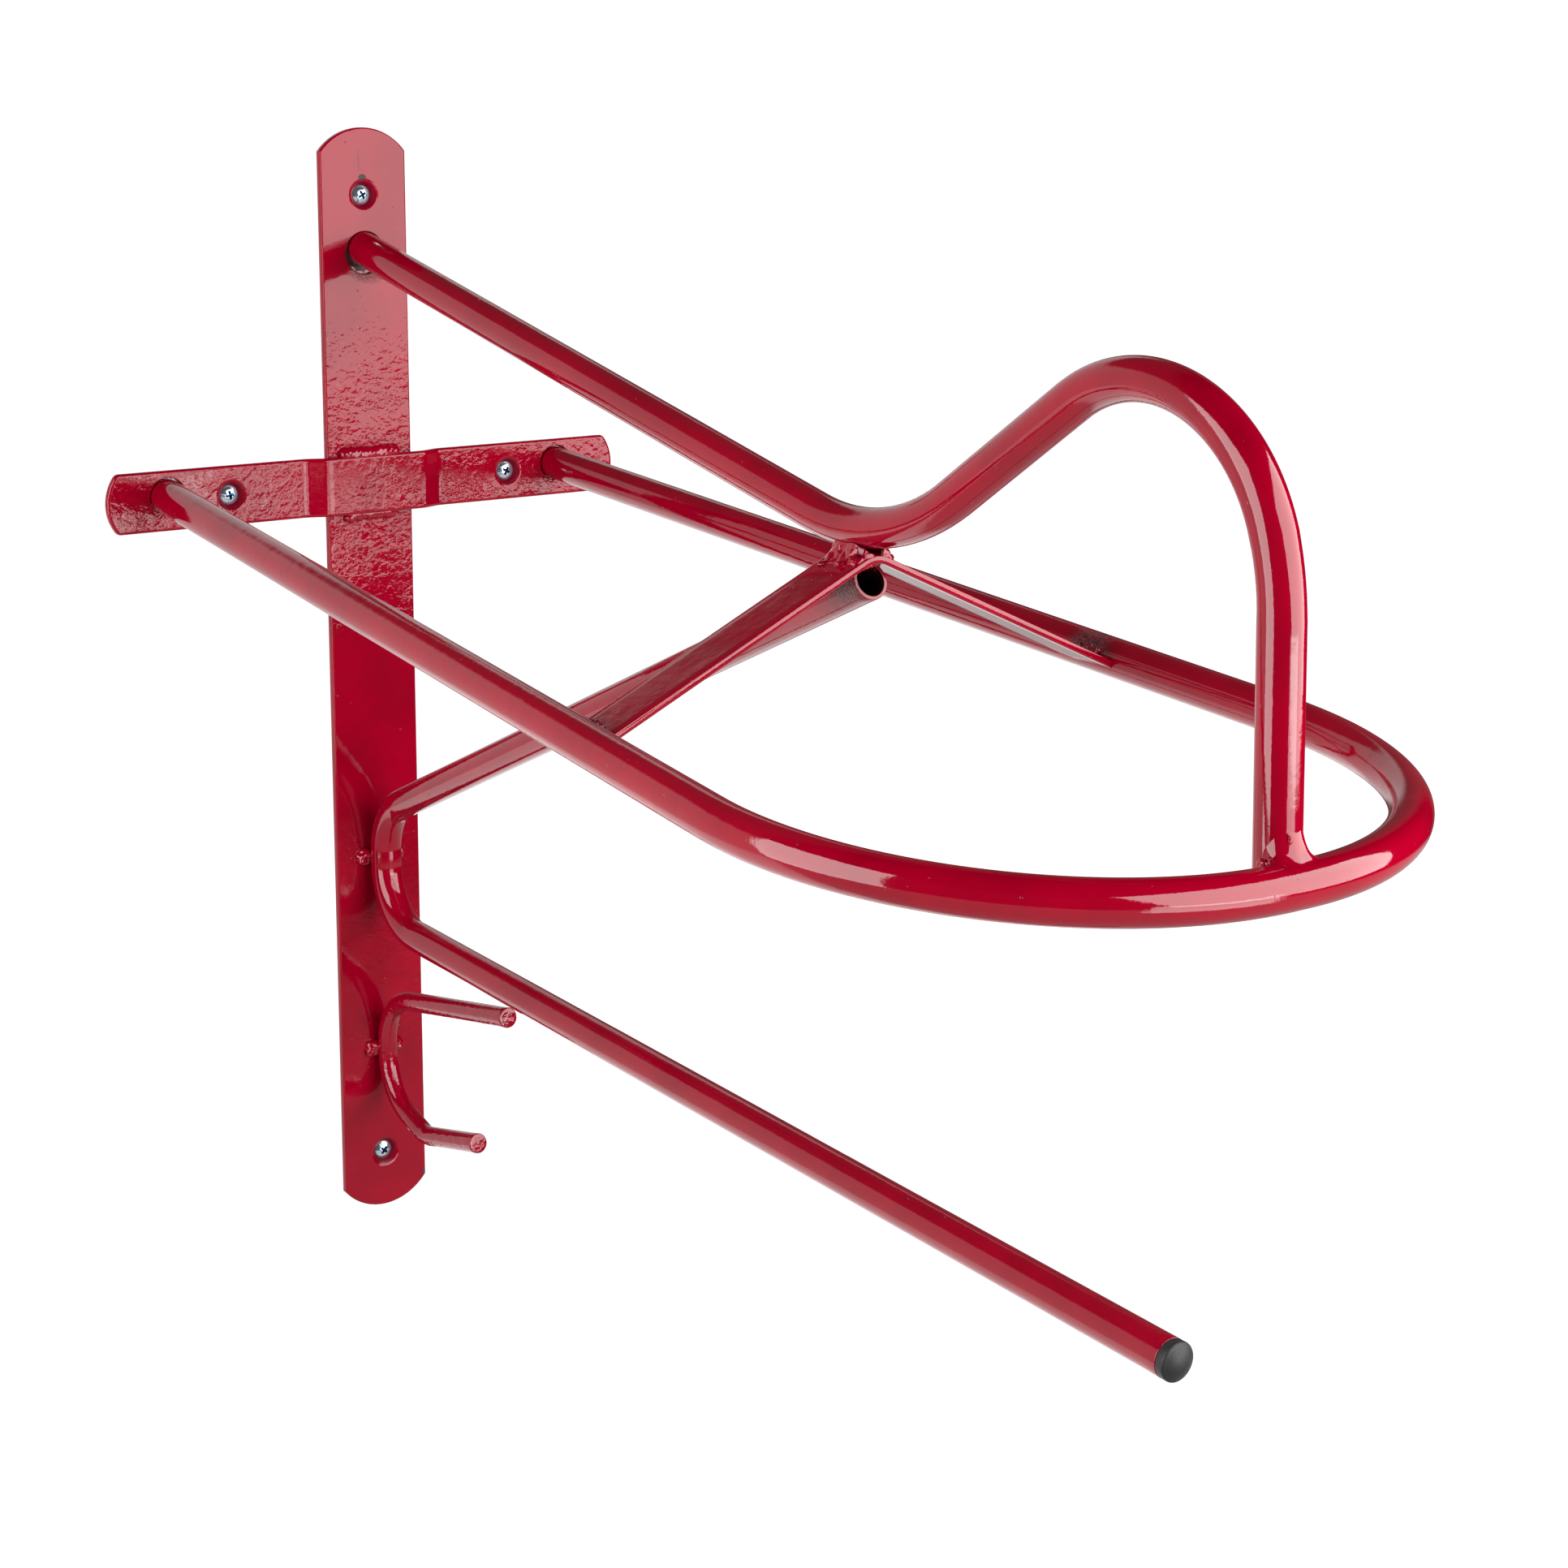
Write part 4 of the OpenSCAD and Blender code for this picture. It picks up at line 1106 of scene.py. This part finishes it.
def meeting_height(phi):
    """Where the leg's surface meets the hoop's, by halving."""
    low, high = FRONT_Z - 2.0, FRONT_Z + 30.0
    for _ in range(40):
        z = (low + high) / 2
        p = leg_point(phi, z, TUBE_R)
        if math.hypot(p[1] + HOOP_REACH, p[2] - FRONT_Z) < TUBE_D / 2:
            low = z
        else:
            high = z
    return low


def foot_fillet():
    """The rows of the fillet round the leg, as far as the leg stands on the hoop."""
    rows, count, reach = [], 72, 112
    for j in range(count + 1):
        phi = -90 - reach + 2 * reach * j / count
        z = meeting_height(phi)
        fade = math.sin(math.pi * j / count) ** 0.45 if 0 < j < count else 0.0
        climb = (3.0 + 7.5 * fade) * (1 + 0.16 * noise_at((j * 0.11, 3.3, 0)))
        spread = (0.8 + 4.4 * fade) * (1 + 0.18 * noise_at((j * 0.12, 8.8, 0)))
        corner = leg_point(phi, z, TUBE_R)
        top = leg_point(phi, z + climb, TUBE_R - 0.05)
        # the foot of the fillet is dropped on to the hoop
        out = leg_point(phi, z, TUBE_R + spread)
        middle = np.array([out[0], -HOOP_REACH, FRONT_Z])
        foot = middle + unit(out - middle) * (TUBE_R - 0.03)
        way = unit(leg_point(phi, z, TUBE_R + 5) - corner) + np.array([0, 0, 0.7])
        rows.append((top, corner, foot, unit(way)))
    return rows


weld = Lump()
weld.sheet(foot_fillet(), 13, bulge=0.25, rough=0.18, seed=2.0)
weld.blob((-9.2, -LEG_FOOT_Y - 2.6, FRONT_Z + 6.6), (1.5, 1.7, 2.4), seed=41.0, rough=0.6)
weld.blob((-8.6, -LEG_FOOT_Y - 5.2, FRONT_Z + 7.6), (1.3, 1.5, 1.6), seed=43.0, rough=0.6)
weld.blob((-2.6, -LEG_FOOT_Y - 7.9, FRONT_Z + 14.5), (0.9, 0.5, 1.6), seed=44.0, rough=0.5)
weld.make("arch_foot_weld_flare", "arch_foot_weld", tube_paint)


# ---- wood screws, whose axes run along +Y into the wall
def head_profile():
    """A raised countersunk head and the smooth part of the shank."""
    profile = [(HEAD_TOP, 0.0)]
    for k in range(1, 15):
        r = HEAD_R * sind(90 * k / 14)
        profile.append((HEAD_TOP + HEAD_BALL - math.sqrt(HEAD_BALL ** 2 - r ** 2), r))
    profile += [(HEAD_RIM_Y + 0.12, HEAD_R + 0.01), (HEAD_RIM_Y + 0.30, HEAD_R - 0.12)]
    profile += [(0.72, SHANK_R + 0.05), (0.9, SHANK_R)]
    return profile + [(y, SHANK_R) for y in np.arange(2.0, 14.6, 1.5)]


def thread(x, z):
    """The thread, whose crest climbs as it goes round, down to the point."""
    verts, seg, start, stop, pitch = [], 36, 14.4, 38.2, 2.2
    levels = np.arange(start, stop, 0.2)
    for y in levels:
        t = (y - start) / (stop - start)
        core = THREAD_CORE_R * (1 - max(0.0, (t - 0.84) / 0.16) ** 1.4 * 0.93)
        height = 0.72 * min(1.0, (1.02 - t) / 0.16) * min(1.0, (y - start) / 1.6)
        neck = (SHANK_R - THREAD_CORE_R) * max(0.0, 1 - (y - start) / 0.5)
        for j in range(seg):
            phase = (y / pitch - j / seg) % 1.0
            r = core + height * max(0.0, 1 - abs(phase - 0.5) / 0.28) + neck
            verts.append((x + r * cosd(360 * j / seg), y, z + r * sind(360 * j / seg)))
    return verts, capped_faces(len(levels), seg)


def recess_tools(x, z, spin):
    """Two tapered bars that cut the crossed recess."""
    tools = []
    for turn in (spin, spin + 90):
        u = np.array([cosd(turn), 0, sind(turn)])
        v = np.array([-sind(turn), 0, cosd(turn)])
        verts = []
        for y, length, width in ((HEAD_TOP - 1.0, 3.3, 0.86), (HEAD_TOP + 2.1, 0.8, 0.34)):
            for su, sv in ((-1, -1), (1, -1), (1, 1), (-1, 1)):
                verts.append(np.array([x, y, z]) + u * su * length + v * sv * width)
        faces = [(0, 1, 2, 3), (7, 6, 5, 4), (0, 4, 5, 1), (1, 5, 6, 2), (2, 6, 7, 3), (3, 7, 4, 0)]
        tools.append(new_object("recess", verts, faces))
    return tools


threads, heads, tools = Lump(), Lump(), []
for x, z, spin in SCREWS:
    threads.take(*thread(x, z))
    heads.take(*lathe(head_profile(), 48, (x, 0, z), (0, 1, 0)))
    tools += recess_tools(x, z, spin)
screw_heads = new_object("screw_heads", heads.verts, heads.faces)
cut(screw_heads, tools)
bevel(screw_heads, 0.06, 2, 40)
dress(screw_heads, zinc_plate, ["wall_screws"], angle=45)
add("screw_threads", threads.verts, threads.faces, zinc_plate, "zinc")

# ---- carried-over CAD nodes
carried = {"ridge_end_weld": hole_weld_paint, "hoop_left_weld": weld_paint, "hoop_right_weld": weld_paint}
for name, mat in carried.items():
    mats = nodes[name].data.materials
    mats.clear()
    mats.append(mat)


# ---- floor and backdrop, in metres
def backdrop_white():
    """White that gives its own light, with faint clouds."""
    mat = bpy.data.materials.new("floor_white")
    n = Nodes(mat)
    light, dark = 0.98, 0.98 * 0.985
    shade = n.mix(n.step(n.noise(0.7), 0.3, 0.7), (light, light, light, 1), (dark, dark, dark, 1))
    n.surface({"Base Color": shade, "Emission Color": shade, "Emission Strength": 1.03,
               "Roughness": 0.9, "Specular IOR Level": 0.0})
    return mat


def backdrop():
    """A floor that curves up into a wall all round, so that there is no horizon from any side."""
    floor_z, flat, curve, wall, seg = -0.95, 4.0, 2.5, 6.0, 72
    profile = [(flat / 2, floor_z), (flat, floor_z)]
    profile += [(flat + curve * sind(a), floor_z + curve * (1 - cosd(a))) for a in range(10, 91, 10)]
    profile += [(flat + curve, floor_z + wall)]
    verts = [(r * cosd(360 * j / seg), r * sind(360 * j / seg), z) for r, z in profile for j in range(seg)]
    mesh = bpy.data.meshes.new("floor")
    mesh.from_pydata(verts, [], grid_faces(len(profile), seg) + [list(range(seg))])
    mesh.materials.append(backdrop_white())
    mesh.shade_smooth()
    return bpy.data.objects.new("floor", mesh)


floor = backdrop()
bpy.context.scene.collection.objects.link(floor)
floor.visible_glossy = False
floor.visible_diffuse = False
floor.visible_shadow = False

# ---- light
# the room: dark behind the camera, with a light wall behind the object and a light floor
world = bpy.data.worlds.new("studio")
bpy.context.scene.world = world
room = Nodes(world, "Background", "OutputWorld", "Generated")
# the wall fades out overhead and to the right, and is brightest where it meets the floor
wall_light = room.step(room.axis("Y"), 0.35, 0.50, 0.03, 0.85)
wall_light = room.times(wall_light, room.step(room.axis("Z"), 0.50, 0.57, 1.0, 0.08))
wall_light = room.times(wall_light, room.step(room.axis("X"), 0.50, 0.62, 1.0, 0.10))
wall_light = room.times(wall_light, room.step(room.axis("Z"), -0.36, -0.46, 1.0, 1.9))
floor_light = room.step(room.axis("Z"), -0.24, -0.33, 0.0, 0.54)
room.surface({"Color": (1, 1, 1, 1), "Strength": room.math("MAXIMUM", wall_light, floor_light)})


def panel(name, azimuth, elevation, distance, width, height, radiance):
    """A soft box. Its azimuth and elevation are seen from the arch's foot."""
    light = bpy.data.lights.new(name, "AREA")
    light.shape, light.size, light.size_y = "RECTANGLE", width, height
    light.energy = radiance * math.pi * width * height
    obj = bpy.data.objects.new(name, light)
    bpy.context.scene.collection.objects.link(obj)
    away = towards(azimuth, elevation)
    obj.location = Vector((0, -0.6, -0.06)) + away * distance
    obj.rotation_euler = away.to_track_quat("Z", "Y").to_euler()
    obj.visible_camera = False


panel("soft_right", 36, 19.6, 1.0, 1.7, 1.145, 5.9)
panel("soft_low", 14, -17, 1.0, 0.74, 0.46, 5.0)
panel("soft_left", -100.8, 10, 1.1, 0.78, 1.2, 6.0)

bpy.context.scene.view_settings.view_transform = "Standard"
bpy.context.scene.view_settings.look = "None"
